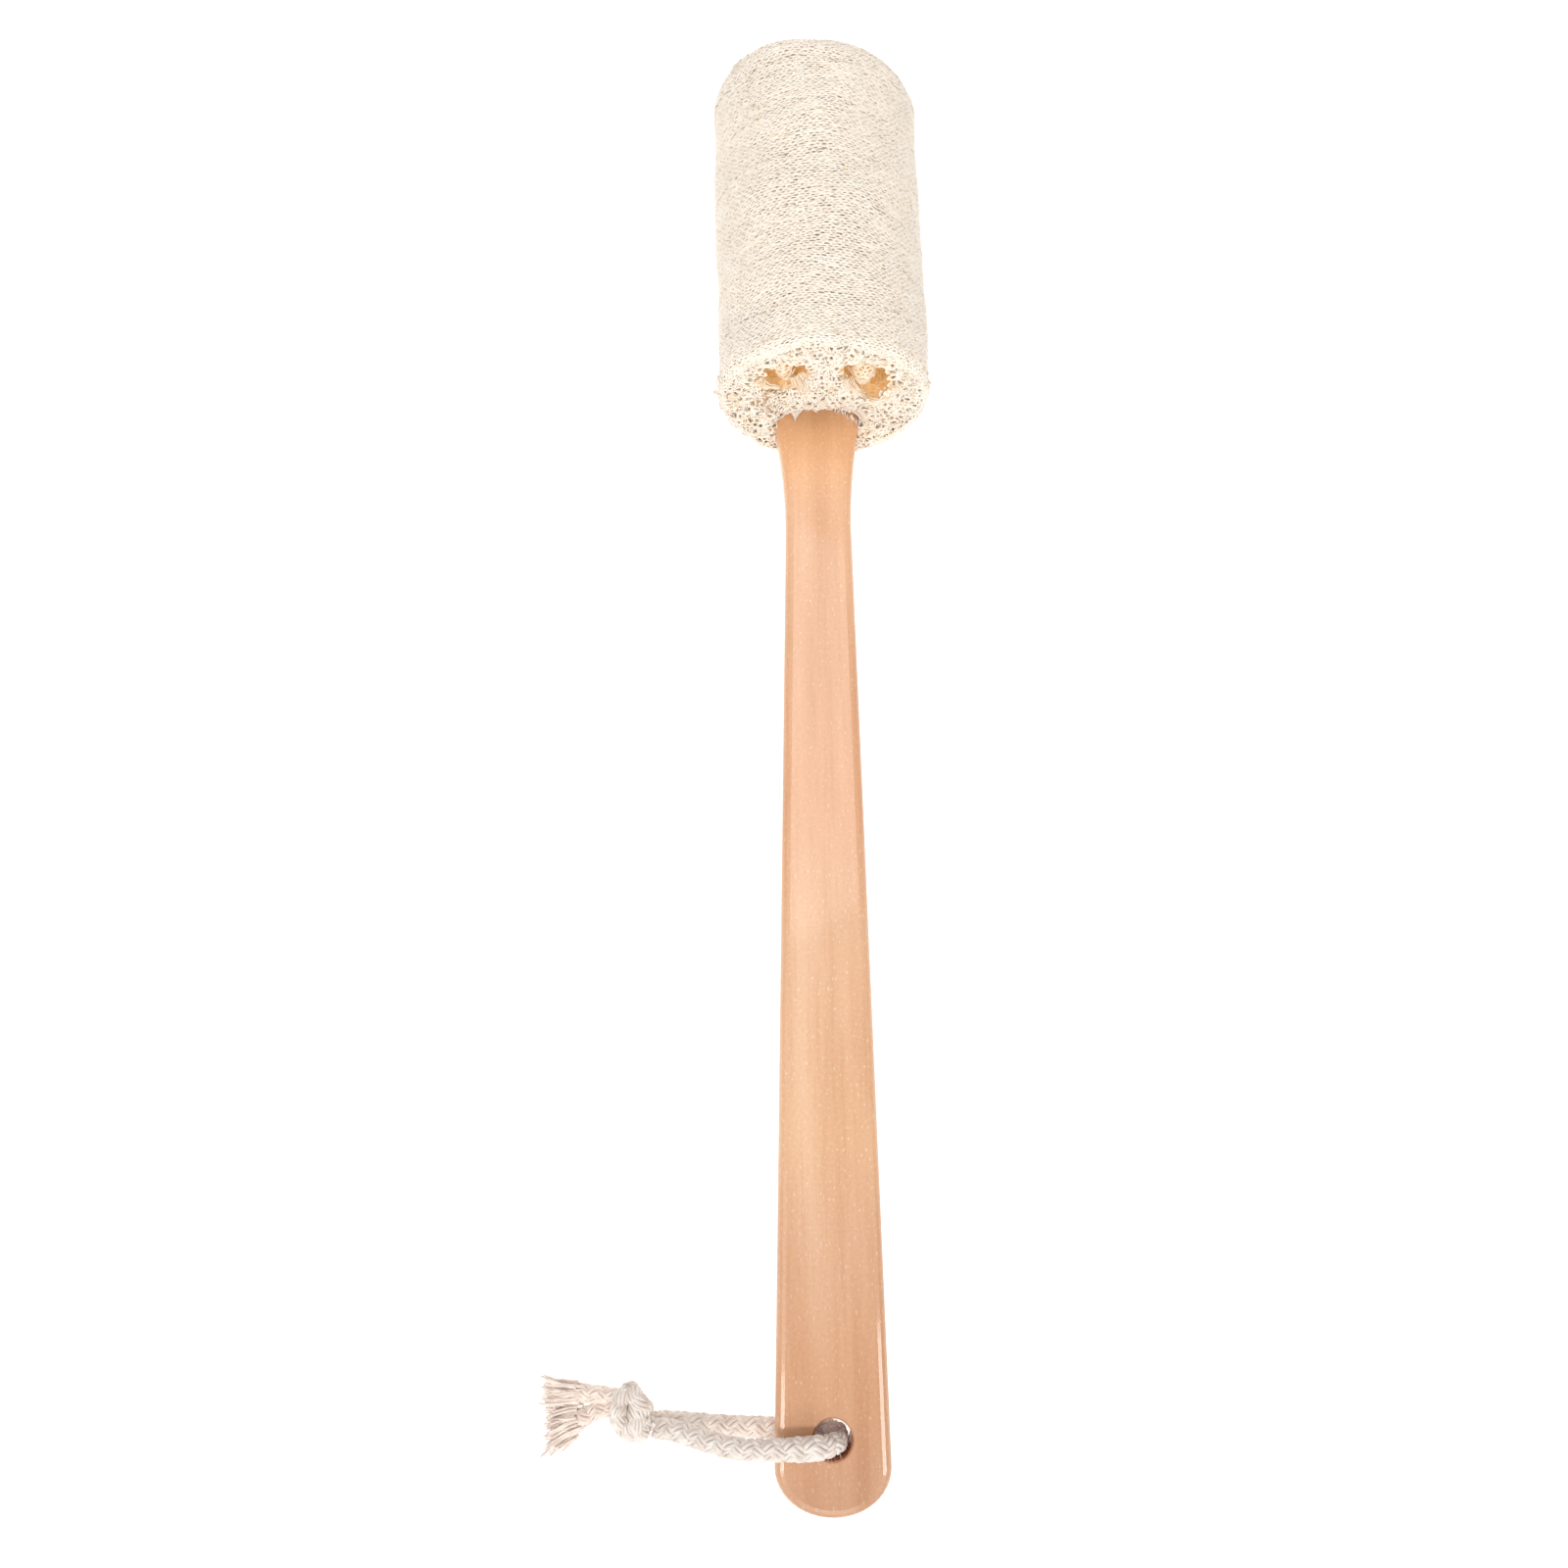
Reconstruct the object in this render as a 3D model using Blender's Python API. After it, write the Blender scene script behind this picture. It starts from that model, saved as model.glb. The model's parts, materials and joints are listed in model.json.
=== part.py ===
"""Loofah back scrubber: a long wooden handle, pushed into a length of loofah gourd, with a loop of
cotton cord through the handle's end.

It lies as it would on a table. +Y runs along the handle to the loofah, +X is across it, +Z is up, and
Z = 0 is the table. Y = 0 is the middle of the whole length. Metres throughout.
"""

import math

import bmesh
import bpy
from mathutils import Vector

# The whole
TOTAL_LENGTH = 0.402
TABLE_Z = 0.0
GAP = 0.0003  # left between pieces that touch

# Handle: one flat piece of hardwood
BUTT_END_Y = -TOTAL_LENGTH / 2
HANDLE_THICKNESS = 0.011
HANDLE_UNDERSIDE_Z = 0.006  # the cord's lower leg lies between it and the table
HANDLE_TOP_Z = HANDLE_UNDERSIDE_Z + HANDLE_THICKNESS
EDGE_ROUNDING = 0.0025
EDGE_SEGMENTS = 4
BUTT_HALF_WIDTH = 0.0153
BUTT_CURVE_LENGTH = 0.012  # the end is half an ellipse, this deep
GRIP_START_Y = -0.150  # the grip's straight, flat stretch
GRIP_END_Y = 0.050
NECK_Y = 0.070  # the narrowest place
NECK_HALF_WIDTH = 0.00985
FLARE_LENGTH = 0.054
FLARE_RISE = 0.004
TONGUE_END_Y = 0.165  # the tip, inside the loofah
TONGUE_CURVE_LENGTH = 0.008

# Hole for the cord
HOLE_Y = BUTT_END_Y + 0.0192
HOLE_RADIUS = 0.0051
HOLE_CHAMFER = 0.0005
HOLE_SIDES = 40

# Loofah: a cut length of gourd, pressed flat where it lies on the table
LOOFAH_NEAR_Y = 0.1031
LOOFAH_FAR_Y = TOTAL_LENGTH / 2
LOOFAH_NEAR_RADIUS = 0.0316
LOOFAH_FAR_RADIUS = 0.0309
LOOFAH_AXIS_Z = 0.030
LOOFAH_NEAR_X = 0.0012  # it sits a little askew on the handle
LOOFAH_FAR_X = -0.0001
NEAR_RIM_ROUNDING = 0.0025
FAR_RIM_ROUNDING = 0.008
RIM_STEPS = 5
LOOFAH_SIDES = 56

# Seed chambers, as (centre x, centre z above the loofah's axis, half-width, half-height)
LEFT_CHAMBER = (-0.0117, 0.0105, 0.0075, 0.0065)
RIGHT_CHAMBER = (0.0128, 0.0080, 0.0075, 0.0080)
LOWER_CHAMBER = (0.0, -0.0185, 0.0090, 0.0055)
CHAMBER_SIDES = 28

# Socket in the lower chamber, and the glue between it and the tongue
GLUE_THICKNESS = 0.0007
GLUE_START_Y = 0.124
GLUE_END_Y = 0.156
SOCKET_END_Y = 0.168
SOCKET_CORNER = 0.003
CORNER_STEPS = 4

# Hanging cord. Points of its two legs are (x, y) from the hole's axis, then height above the table.
CORD_RADIUS = 0.00275
CORD_POINT_STEP = 0.003
CORD_BEVEL_RESOLUTION = 3
FRONT_LEG = (
    (0.0016, -0.0011, 0.0117),
    (0.0016, -0.0011, 0.0130),
    (0.0011, -0.0011, 0.0148),
    (-0.0002, -0.0010, 0.0170),
    (-0.0026, -0.0009, 0.0189),
    (-0.0055, -0.0009, 0.0199),
    (-0.0090, -0.0010, 0.0201),
    (-0.0130, -0.0011, 0.0201),
    (-0.0185, -0.0012, 0.02005),
    (-0.0240, -0.0012, 0.0190),
    (-0.0300, -0.0009, 0.0165),
    (-0.0360, -0.0002, 0.0133),
    (-0.0410, 0.0004, 0.0107),
    (-0.0450, 0.0006, 0.0093),
    (-0.0472, 0.0006, 0.0092),
)
BACK_LEG = (
    (0.0016, -0.0011, 0.0113),
    (0.0016, -0.0011, 0.0100),
    (0.0011, -0.0011, 0.0082),
    (-0.0002, -0.0012, 0.0060),
    (-0.0026, -0.0014, 0.0041),
    (-0.0055, -0.0016, 0.0031),
    (-0.0090, -0.0016, 0.00295),
    (-0.0150, -0.0016, 0.00295),
    (-0.0220, -0.0013, 0.00295),
    (-0.0300, -0.0009, 0.00295),
    (-0.0370, -0.0003, 0.0030),
    (-0.0430, 0.0002, 0.0031),
    (-0.0472, 0.0003, 0.0031),
)
KNOT_CENTRE = (-0.0534, 0.0039, 0.0059)
KNOT_SIZE = (0.0114, 0.0151, 0.0112)
KNOT_ROUNDING = 0.0035
# Frayed ends, as (root, tip), each from the hole's axis like the legs
LEFT_TAIL = ((-0.0594, 0.0012, 0.0046), (-0.0775, -0.0013, 0.0040))
RIGHT_TAIL = ((-0.0594, 0.0068, 0.0050), (-0.0775, 0.0066, 0.0040))
TAIL_ROOT_RADIUS = 0.0026
TAIL_TIP_RADIUS = 0.0037
TAIL_SIDES = 14

# Colours, as linear red, green and blue
WOOD = (0.84, 0.53, 0.32)
LOOFAH = (0.92, 0.83, 0.68)
COTTON = (0.83, 0.78, 0.70)
GLUE = (0.85, 0.78, 0.60)


def clear_scene():
    for old in list(bpy.data.objects):
        bpy.data.objects.remove(old, do_unlink=True)


def material(name, colour, roughness):
    made = bpy.data.materials.new(name)
    made.use_nodes = True
    shader = made.node_tree.nodes["Principled BSDF"]
    shader.inputs["Base Color"].default_value = (*colour, 1.0)
    shader.inputs["Roughness"].default_value = roughness
    shader.inputs["Metallic"].default_value = 0.0
    return made


def add(name, mesh_or_curve, finish, parent=None):
    """Put a mesh or curve in the scene as one named piece."""
    piece = bpy.data.objects.new(name, mesh_or_curve)
    bpy.context.scene.collection.objects.link(piece)
    if finish is not None:
        mesh_or_curve.materials.append(finish)
    piece.parent = parent
    return piece


def mesh_from(name, bm, smooth=True):
    bmesh.ops.recalc_face_normals(bm, faces=bm.faces)
    mesh = bpy.data.meshes.new(name)
    bm.to_mesh(mesh)
    bm.free()
    if smooth:
        mesh.shade_smooth()
        mesh.set_sharp_from_angle(angle=math.radians(35))
    return mesh


def loft(name, rings, splits=()):
    """A closed body through rings of points, every ring with the same number of them.

    Its two ends are one face each, or are split across at the given points of a ring whose halves
    mirror each other.
    """
    bm = bmesh.new()
    made = [[bm.verts.new(point) for point in ring] for ring in rings]
    for low, high in zip(made, made[1:]):
        for i in range(len(low)):
            after = (i + 1) % len(low)
            bm.faces.new((low[i], low[after], high[after], high[i]))
    for ring in (made[0], made[-1]):
        if not splits:
            bm.faces.new(ring)
        stops = (0, *splits, len(ring) // 2) if splits else ()
        for start, end in zip(stops, stops[1:]):
            there = [ring[i] for i in range(start, end + 1)]
            back = [ring[-i] for i in range(end, start - 1, -1)]
            bm.faces.new(dict.fromkeys(there + back))
    return mesh_from(name, bm)


def cut(piece, cutter):
    """Take cutter's shape out of piece."""
    cutter.hide_render = True
    cutter.display_type = "WIRE"
    modifier = piece.modifiers.new("cut_" + cutter.name, "BOOLEAN")
    modifier.operation = "DIFFERENCE"
    modifier.solver = "EXACT"
    modifier.object = cutter


def half_width(y):
    """Half the handle's width: a straight taper to the neck, then a flare into the tongue."""
    taper_start = BUTT_END_Y + BUTT_CURVE_LENGTH
    if y <= NECK_Y:
        share = (y - taper_start) / (NECK_Y - taper_start)
        return BUTT_HALF_WIDTH + share * (NECK_HALF_WIDTH - BUTT_HALF_WIDTH)
    along = min((y - NECK_Y) / FLARE_LENGTH, 1.0)
    rise = 2 * along**2 if along < 0.5 else 1 - 2 * (1 - along) ** 2
    return NECK_HALF_WIDTH + FLARE_RISE * rise


def handle_side():
    """The outline's +X side, from the butt's end to the tongue's tip."""
    butt_start = BUTT_END_Y + BUTT_CURVE_LENGTH
    tip_start = TONGUE_END_Y - TONGUE_CURVE_LENGTH
    points = []
    for i in range(1, 12):
        turn = i / 12 * math.pi / 2
        x = half_width(butt_start) * math.sin(turn)
        points.append((x, butt_start - BUTT_CURVE_LENGTH * math.cos(turn)))
    stops = [butt_start, HOLE_Y, GRIP_START_Y, GRIP_END_Y]
    stops += [NECK_Y + FLARE_LENGTH * i / 12 for i in range(13)]
    stops += [tip_start]
    points += [(half_width(y), y) for y in stops]
    for i in range(1, 9):
        turn = i / 9 * math.pi / 2
        x = half_width(tip_start) * math.cos(turn)
        points.append((x, tip_start + TONGUE_CURVE_LENGTH * math.sin(turn)))
    return points


def make_handle(finish):
    side = handle_side()
    outline = [(0.0, BUTT_END_Y)] + side + [(0.0, TONGUE_END_Y)]
    outline += [(-x, y) for x, y in reversed(side)]
    rings = [[(x, y, z) for x, y in outline] for z in (HANDLE_UNDERSIDE_Z, HANDLE_TOP_Z)]
    grip = [i for i, (_, y) in enumerate(side, start=1) if y in (GRIP_START_Y, GRIP_END_Y)]
    handle = add("handle", loft("handle", rings, splits=grip), finish)
    rounding = handle.modifiers.new("rounded_edges", "BEVEL")
    rounding.width = EDGE_ROUNDING
    rounding.segments = EDGE_SEGMENTS
    rounding.limit_method = "ANGLE"
    rounding.angle_limit = math.radians(45)
    cut(handle, make_hole_cutter())
    return handle


def make_hole_cutter():
    """The drilled hole, opened out a little at both mouths."""
    past = 0.001
    wide = HOLE_RADIUS + HOLE_CHAMFER
    profile = (
        (wide + past, HANDLE_UNDERSIDE_Z - past),
        (wide, HANDLE_UNDERSIDE_Z),
        (HOLE_RADIUS, HANDLE_UNDERSIDE_Z + HOLE_CHAMFER),
        (HOLE_RADIUS, HANDLE_TOP_Z - HOLE_CHAMFER),
        (wide, HANDLE_TOP_Z),
        (wide + past, HANDLE_TOP_Z + past),
    )
    rings = []
    for radius, z in profile:
        turns = [2 * math.pi * i / HOLE_SIDES for i in range(HOLE_SIDES)]
        rings.append([(radius * math.cos(t), HOLE_Y + radius * math.sin(t), z) for t in turns])
    return add("hole_cutter", loft("hole_cutter", rings), None)


def loofah_x(y):
    """Where the loofah's axis is across the handle, at y."""
    share = (y - LOOFAH_NEAR_Y) / (LOOFAH_FAR_Y - LOOFAH_NEAR_Y)
    return LOOFAH_NEAR_X + share * (LOOFAH_FAR_X - LOOFAH_NEAR_X)


def loofah_ring(y, inset):
    """The loofah's outline at y, inset from its skin, and flat where it meets the table."""
    share = (y - LOOFAH_NEAR_Y) / (LOOFAH_FAR_Y - LOOFAH_NEAR_Y)
    radius = LOOFAH_NEAR_RADIUS + share * (LOOFAH_FAR_RADIUS - LOOFAH_NEAR_RADIUS) - inset
    ring = []
    for i in range(LOOFAH_SIDES):
        turn = 2 * math.pi * (i + 0.5) / LOOFAH_SIDES
        x = loofah_x(y) + radius * math.cos(turn)
        ring.append((x, y, max(LOOFAH_AXIS_Z + radius * math.sin(turn), TABLE_Z + inset)))
    return ring


def make_loofah(finish):
    rings = []
    for i in range(RIM_STEPS + 1):
        turn = i / RIM_STEPS * math.pi / 2
        inset = NEAR_RIM_ROUNDING * (1 - math.sin(turn))
        y = LOOFAH_NEAR_Y + NEAR_RIM_ROUNDING * (1 - math.cos(turn))
        rings.append(loofah_ring(y, inset))
    for i in range(RIM_STEPS + 1):
        turn = i / RIM_STEPS * math.pi / 2
        inset = FAR_RIM_ROUNDING * (1 - math.cos(turn))
        y = LOOFAH_FAR_Y - FAR_RIM_ROUNDING * (1 - math.sin(turn))
        rings.append(loofah_ring(y, inset))
    loofah = add("loofah", loft("loofah", rings), finish)
    cut(loofah, make_chamber_cutter("left_chamber_cutter", LEFT_CHAMBER, LOOFAH_NEAR_Y))
    cut(loofah, make_chamber_cutter("right_chamber_cutter", RIGHT_CHAMBER, LOOFAH_NEAR_Y))
    cut(loofah, make_chamber_cutter("lower_chamber_cutter", LOWER_CHAMBER, TONGUE_END_Y))
    cut(loofah, make_socket_cutter())
    return loofah


def make_chamber_cutter(name, chamber, start_y):
    """A seed chamber: an oval channel that comes out at the loofah's far end."""
    past = 0.002
    x, z, half_wide, half_high = chamber
    rings = []
    for y in (start_y - past, LOOFAH_FAR_Y + past):
        ring = []
        for i in range(CHAMBER_SIDES):
            turn = 2 * math.pi * i / CHAMBER_SIDES
            across = loofah_x(y) + x + half_wide * math.cos(turn)
            ring.append((across, y, LOOFAH_AXIS_Z + z + half_high * math.sin(turn)))
        rings.append(ring)
    return add(name, loft(name, rings), None)


def tongue_ring(y, spread):
    """A rounded oblong at y that stands off the tongue's faces by spread."""
    half_wide = half_width(TONGUE_END_Y - TONGUE_CURVE_LENGTH) + spread
    half_high = HANDLE_THICKNESS / 2 + spread
    middle = (HANDLE_UNDERSIDE_Z + HANDLE_TOP_Z) / 2
    ring = []
    for corner, (sign_x, sign_z) in enumerate(((1, 1), (-1, 1), (-1, -1), (1, -1))):
        for step in range(CORNER_STEPS + 1):
            turn = (corner + step / CORNER_STEPS) * math.pi / 2
            x = sign_x * (half_wide - SOCKET_CORNER) + SOCKET_CORNER * math.cos(turn)
            z = sign_z * (half_high - SOCKET_CORNER) + SOCKET_CORNER * math.sin(turn)
            ring.append((x, y, middle + z))
    return ring


def make_socket_cutter():
    spread = GAP + GLUE_THICKNESS + GAP
    rings = [tongue_ring(y, spread) for y in (LOOFAH_NEAR_Y - 0.002, SOCKET_END_Y)]
    return add("socket_cutter", loft("socket_cutter", rings), None)


def make_glue_band(finish):
    """A thin band of glue right round the tongue, between it and the socket's wall."""
    bm = bmesh.new()
    spreads = (GAP, GAP + GLUE_THICKNESS)
    corners = [
        [bm.verts.new(point) for point in tongue_ring(y, spread)]
        for y, spread in (
            (GLUE_START_Y, spreads[0]),
            (GLUE_START_Y, spreads[1]),
            (GLUE_END_Y, spreads[1]),
            (GLUE_END_Y, spreads[0]),
        )
    ]
    for ring, following in zip(corners, corners[1:] + corners[:1]):
        for i in range(len(ring)):
            after = (i + 1) % len(ring)
            bm.faces.new((ring[i], ring[after], following[after], following[i]))
    return add("glue_band", mesh_from("glue_band", bm), finish)


def smooth_route(points, step):
    """Points about a step apart on a smooth curve through a route's own points."""
    ends = (2 * points[0] - points[1], 2 * points[-1] - points[-2])
    padded = [ends[0], *points, ends[1]]
    fine = []
    for before, start, end, after in zip(padded, padded[1:], padded[2:], padded[3:]):
        count = max(1, round((end - start).length / step))
        for i in range(count):
            t = i / count
            value = 2 * start + (end - before) * t
            value += (2 * before - 5 * start + 4 * end - after) * t**2
            value += (3 * start - before - 3 * end + after) * t**3
            fine.append(value / 2)
    fine.append(points[-1])
    return fine


def make_cord_leg(name, route, finish, pivot):
    points = smooth_route([Vector(point) for point in route], CORD_POINT_STEP)
    curve = bpy.data.curves.new(name, "CURVE")
    curve.dimensions = "3D"
    curve.bevel_depth = CORD_RADIUS
    curve.bevel_resolution = CORD_BEVEL_RESOLUTION
    curve.use_fill_caps = True
    spline = curve.splines.new("POLY")
    spline.points.add(len(points) - 1)
    for held, point in zip(spline.points, points):
        held.co = (*point, 1.0)
    return add(name, curve, finish, pivot)


def make_knot(finish, pivot):
    """The overhand knot that closes the loop, as a rounded lump."""
    bm = bmesh.new()
    bmesh.ops.create_cube(bm, size=1.0)
    bmesh.ops.scale(bm, vec=KNOT_SIZE, verts=bm.verts)
    bmesh.ops.bevel(
        bm, geom=bm.edges, offset=KNOT_ROUNDING, segments=5, profile=0.5, affect="EDGES"
    )
    knot = add("cord_knot", mesh_from("cord_knot", bm), finish, pivot)
    knot.location = KNOT_CENTRE
    return knot


def make_tail(name, ends, finish, pivot):
    """A frayed end, which widens away from the knot."""
    root, tip = (Vector(point) for point in ends)
    rings = []
    for centre, radius in ((root, TAIL_ROOT_RADIUS), (tip, TAIL_TIP_RADIUS)):
        turns = [2 * math.pi * i / TAIL_SIDES for i in range(TAIL_SIDES)]
        rings.append(
            [centre + Vector((0, radius * math.cos(t), radius * math.sin(t))) for t in turns]
        )
    return add(name, loft(name, rings), finish, pivot)


def make_hanging_loop(finish):
    """Everything of the cord, on an empty at the hole's axis, about which the loop swings."""
    pivot = add("loop_pivot", None, None)
    pivot.location = (0.0, HOLE_Y, TABLE_Z)
    make_cord_leg("cord_front_leg", FRONT_LEG, finish, pivot)
    make_cord_leg("cord_back_leg", BACK_LEG, finish, pivot)
    make_knot(finish, pivot)
    make_tail("cord_tail_left", LEFT_TAIL, finish, pivot)
    make_tail("cord_tail_right", RIGHT_TAIL, finish, pivot)


def main():
    clear_scene()
    make_handle(material("varnished_wood", WOOD, 0.4))
    make_glue_band(material("glue", GLUE, 0.5))
    make_loofah(material("loofah", LOOFAH, 0.9))
    make_hanging_loop(material("cotton", COTTON, 0.9))


main()
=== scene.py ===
"""Loofah back scrubber, as it lies on a pale table: its looks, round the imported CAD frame.

Metres, +Y along the handle to the loofah, +Z up. The camera and the cords come first.
"""

import json
import math

import bpy
import numpy as np
from mathutils import Matrix, Vector
from mathutils.geometry import delaunay_2d_cdt


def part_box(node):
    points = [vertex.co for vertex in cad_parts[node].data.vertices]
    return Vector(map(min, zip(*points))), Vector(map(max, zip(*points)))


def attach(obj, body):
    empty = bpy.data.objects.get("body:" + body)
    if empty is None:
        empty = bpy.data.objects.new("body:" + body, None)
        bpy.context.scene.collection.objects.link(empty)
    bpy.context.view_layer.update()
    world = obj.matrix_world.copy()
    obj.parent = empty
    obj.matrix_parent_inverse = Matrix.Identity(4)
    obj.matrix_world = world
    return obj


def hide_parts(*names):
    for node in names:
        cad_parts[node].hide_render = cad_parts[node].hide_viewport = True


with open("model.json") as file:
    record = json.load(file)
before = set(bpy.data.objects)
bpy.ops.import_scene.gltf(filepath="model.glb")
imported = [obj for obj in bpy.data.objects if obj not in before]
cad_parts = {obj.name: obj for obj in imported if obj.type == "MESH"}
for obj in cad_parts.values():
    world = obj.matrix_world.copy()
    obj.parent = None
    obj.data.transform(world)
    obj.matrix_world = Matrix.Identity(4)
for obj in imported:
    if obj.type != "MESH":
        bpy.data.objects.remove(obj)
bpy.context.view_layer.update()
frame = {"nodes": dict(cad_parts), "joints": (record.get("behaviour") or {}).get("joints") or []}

SEED = 7
TAU = 2 * math.pi
FLOOR_GAP = 0.0003  # the floor lies this far below 0, and the loofah's foot and the hairs this far above it
PIT = "pit"  # the mesh attribute that says how far down in a net's cell a point lies, and so how much painted shade the material puts there


# ---- places, read from the frame

HANDLE_LOW, HANDLE_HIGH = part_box("handle")
LOOFAH_LOW, LOOFAH_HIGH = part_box("loofah")
KNOT_LOW, KNOT_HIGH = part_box("cord_knot")
HANDLE_TOP = HANDLE_HIGH.z
HANDLE_UNDER = HANDLE_LOW.z
HOLE = Vector(next(j for j in frame["joints"] if j["name"] == "loop_swing")["pos_m"])
NEAR_Y = LOOFAH_LOW.y
FAR_Y = LOOFAH_HIGH.y


# ---- camera

CAMERA_PLACE = (-0.0115, -0.0689, 0.3434)
CAMERA_DOWN = 79.53  # degrees below the horizon
CAMERA_TURN = 0.38  # degrees to the right of +Y
CAMERA_ROLL = -0.16
CAMERA_LENS = 26.6


def make_camera():
    data = bpy.data.cameras.new("camera")
    data.sensor_width = 36.0
    data.lens = CAMERA_LENS
    data.clip_start, data.clip_end = 0.01, 20.0
    camera = bpy.data.objects.new("camera", data)
    bpy.context.scene.collection.objects.link(camera)
    down, turn = math.radians(CAMERA_DOWN), math.radians(CAMERA_TURN)
    ahead = Vector(
        (math.sin(turn) * math.cos(down), math.cos(turn) * math.cos(down), -math.sin(down))
    )
    right = Vector((math.cos(turn), -math.sin(turn), 0.0))
    up = right.cross(ahead)
    roll = math.radians(CAMERA_ROLL)
    leaning = right * math.cos(roll) + up * math.sin(roll)
    up = up * math.cos(roll) - right * math.sin(roll)
    matrix = Matrix((leaning, up, -ahead)).transposed().to_4x4()
    matrix.translation = Vector(CAMERA_PLACE)
    camera.matrix_world = matrix
    bpy.context.scene.camera = camera


make_camera()


# ---- small mesh tools


def add_mesh(name, points, faces, material, body=None):
    """One mesh piece from arrays of points and of three- or four-sided faces.

    A fourth column of the points, if there is one, is kept as the attribute PIT.
    """
    mesh = bpy.data.meshes.new(name)
    faces = np.asarray(faces, np.int32)
    points = np.asarray(points, np.float32)
    mesh.vertices.add(len(points))
    mesh.vertices.foreach_set("co", points[:, :3].ravel())
    sides = faces.shape[1]
    mesh.loops.add(faces.size)
    mesh.loops.foreach_set("vertex_index", faces.ravel())
    mesh.polygons.add(len(faces))
    mesh.polygons.foreach_set("loop_start", np.arange(0, faces.size, sides, dtype=np.int32))
    mesh.update(calc_edges=True)
    mesh.validate()
    if points.shape[1] > 3:
        mesh.attributes.new(PIT, "FLOAT", "POINT").data.foreach_set("value", points[:, 3].copy())
    mesh.shade_smooth()
    mesh.materials.append(material)
    piece = bpy.data.objects.new(name, mesh)
    bpy.context.scene.collection.objects.link(piece)
    if body:
        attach(piece, body)
    return piece


def unit(vectors):
    return vectors / np.maximum(np.linalg.norm(vectors, axis=-1, keepdims=True), 1e-12)


def tube_mesh(lines, outward, wide, thick, sides=6):
    """Points and faces of many closed tubes at once.

    lines and outward are (tubes, rings, 3): where each ring is, and roughly which way its thin side
    faces. wide and thick are (tubes, rings) half-sizes across and along outward.
    """
    lines = np.asarray(lines, float)
    count, rings = lines.shape[:2]
    along = unit(np.gradient(lines, axis=1))
    outward = np.broadcast_to(outward, lines.shape)
    outward = unit(outward - (outward * along).sum(-1, keepdims=True) * along)
    across = np.cross(along, outward)
    turn = TAU * np.arange(sides) / sides
    wide = np.broadcast_to(wide, (count, rings))[..., None, None]
    thick = np.broadcast_to(thick, (count, rings))[..., None, None]
    spread = across[:, :, None] * (np.cos(turn)[:, None] * wide)
    spread = spread + outward[:, :, None] * (np.sin(turn)[:, None] * thick)
    points = (lines[:, :, None] + spread).reshape(count, rings * sides, 3)
    points = np.concatenate([points, lines[:, :1], lines[:, -1:]], axis=1)
    ring = np.arange(rings - 1)[:, None] * sides
    side = np.arange(sides)[None]
    after = (side + 1) % sides
    walls = np.stack(
        [ring + side, ring + after, ring + sides + after, ring + sides + side], axis=-1
    ).reshape(-1, 4)
    first, last = rings * sides, rings * sides + 1
    end = (rings - 1) * sides
    side, after = side[0], after[0]
    caps = [np.stack([np.full(sides, first), after, side, side], axis=-1)]
    caps.append(np.stack([np.full(sides, last), end + side, end + after, end + after], axis=-1))
    faces = np.concatenate([walls, *caps])
    starts = (np.arange(count) * (rings * sides + 2))[:, None, None]
    return points.reshape(-1, 3), (faces[None] + starts).reshape(-1, 4)


def halves(quads):
    """Four-sided faces, each as two triangles."""
    return np.concatenate([quads[:, [0, 1, 2]], quads[:, [0, 2, 3]]])


def joined(parts):
    """Several (points, faces) as one."""
    points, faces, start = [], [], 0
    for some_points, some_faces in parts:
        points.append(some_points)
        faces.append(some_faces + start)
        start += len(some_points)
    return np.concatenate(points), np.concatenate(faces)


def add_tubes(name, parts, material, body):
    """Tubes as one mesh piece of triangles, without the empty ones that their caps' fans leave."""
    points, faces = joined(parts)
    triangles = halves(faces)
    return add_mesh(name, points, triangles[triangles[:, 1] != triangles[:, 2]], material, body)


def smooth_line(points, count):
    """count points, evenly spaced, on a smooth curve through a line's own points."""
    points = np.asarray(points, float)
    padded = np.concatenate([[2 * points[0] - points[1]], points, [2 * points[-1] - points[-2]]])
    t = np.linspace(0, 1, 24, endpoint=False)[:, None]
    fine = []
    for a, b, c, d in zip(padded, padded[1:], padded[2:], padded[3:]):
        value = 2 * b + (c - a) * t + (2 * a - 5 * b + 4 * c - d) * t**2
        fine.append((value + (3 * b - a - 3 * c + d) * t**3) / 2)
    fine = np.concatenate([*fine, points[-1:]])
    return even(fine, count)


def even(line, count):
    """The same line as count evenly spaced points."""
    run = np.concatenate([[0], np.cumsum(np.linalg.norm(np.diff(line, axis=0), axis=1))])
    at = np.linspace(0, run[-1], count)
    return np.stack([np.interp(at, run, line[:, k]) for k in range(3)], axis=1)


def length_of(line):
    return float(np.linalg.norm(np.diff(line, axis=0), axis=1).sum())


def carried_frames(line, start):
    """Two directions across a line at each of its points, carried along it without twist."""
    along = unit(np.gradient(line, axis=0))
    first = np.empty_like(line)
    now = np.asarray(start, float)
    for i, ahead in enumerate(along):
        now = now - now.dot(ahead) * ahead
        now = now / np.linalg.norm(now)
        first[i] = now
    return first, np.cross(along, first)


# ---- materials


def new_material(name, roughness, colour=(0.8, 0.8, 0.8)):
    made = bpy.data.materials.new(name)
    made.use_nodes = True
    shader = made.node_tree.nodes["Principled BSDF"]
    set_values(shader, Roughness=roughness, Base_Color=(*colour, 1.0))
    return made, made.node_tree, shader


def set_values(made, **values):
    """Sets a shader node's own settings, or its inputs by name, with _ for each space."""
    for key, value in values.items():
        if hasattr(made, key):
            setattr(made, key, value)
        else:
            made.inputs[key.replace("_", " ")].default_value = value


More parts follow.
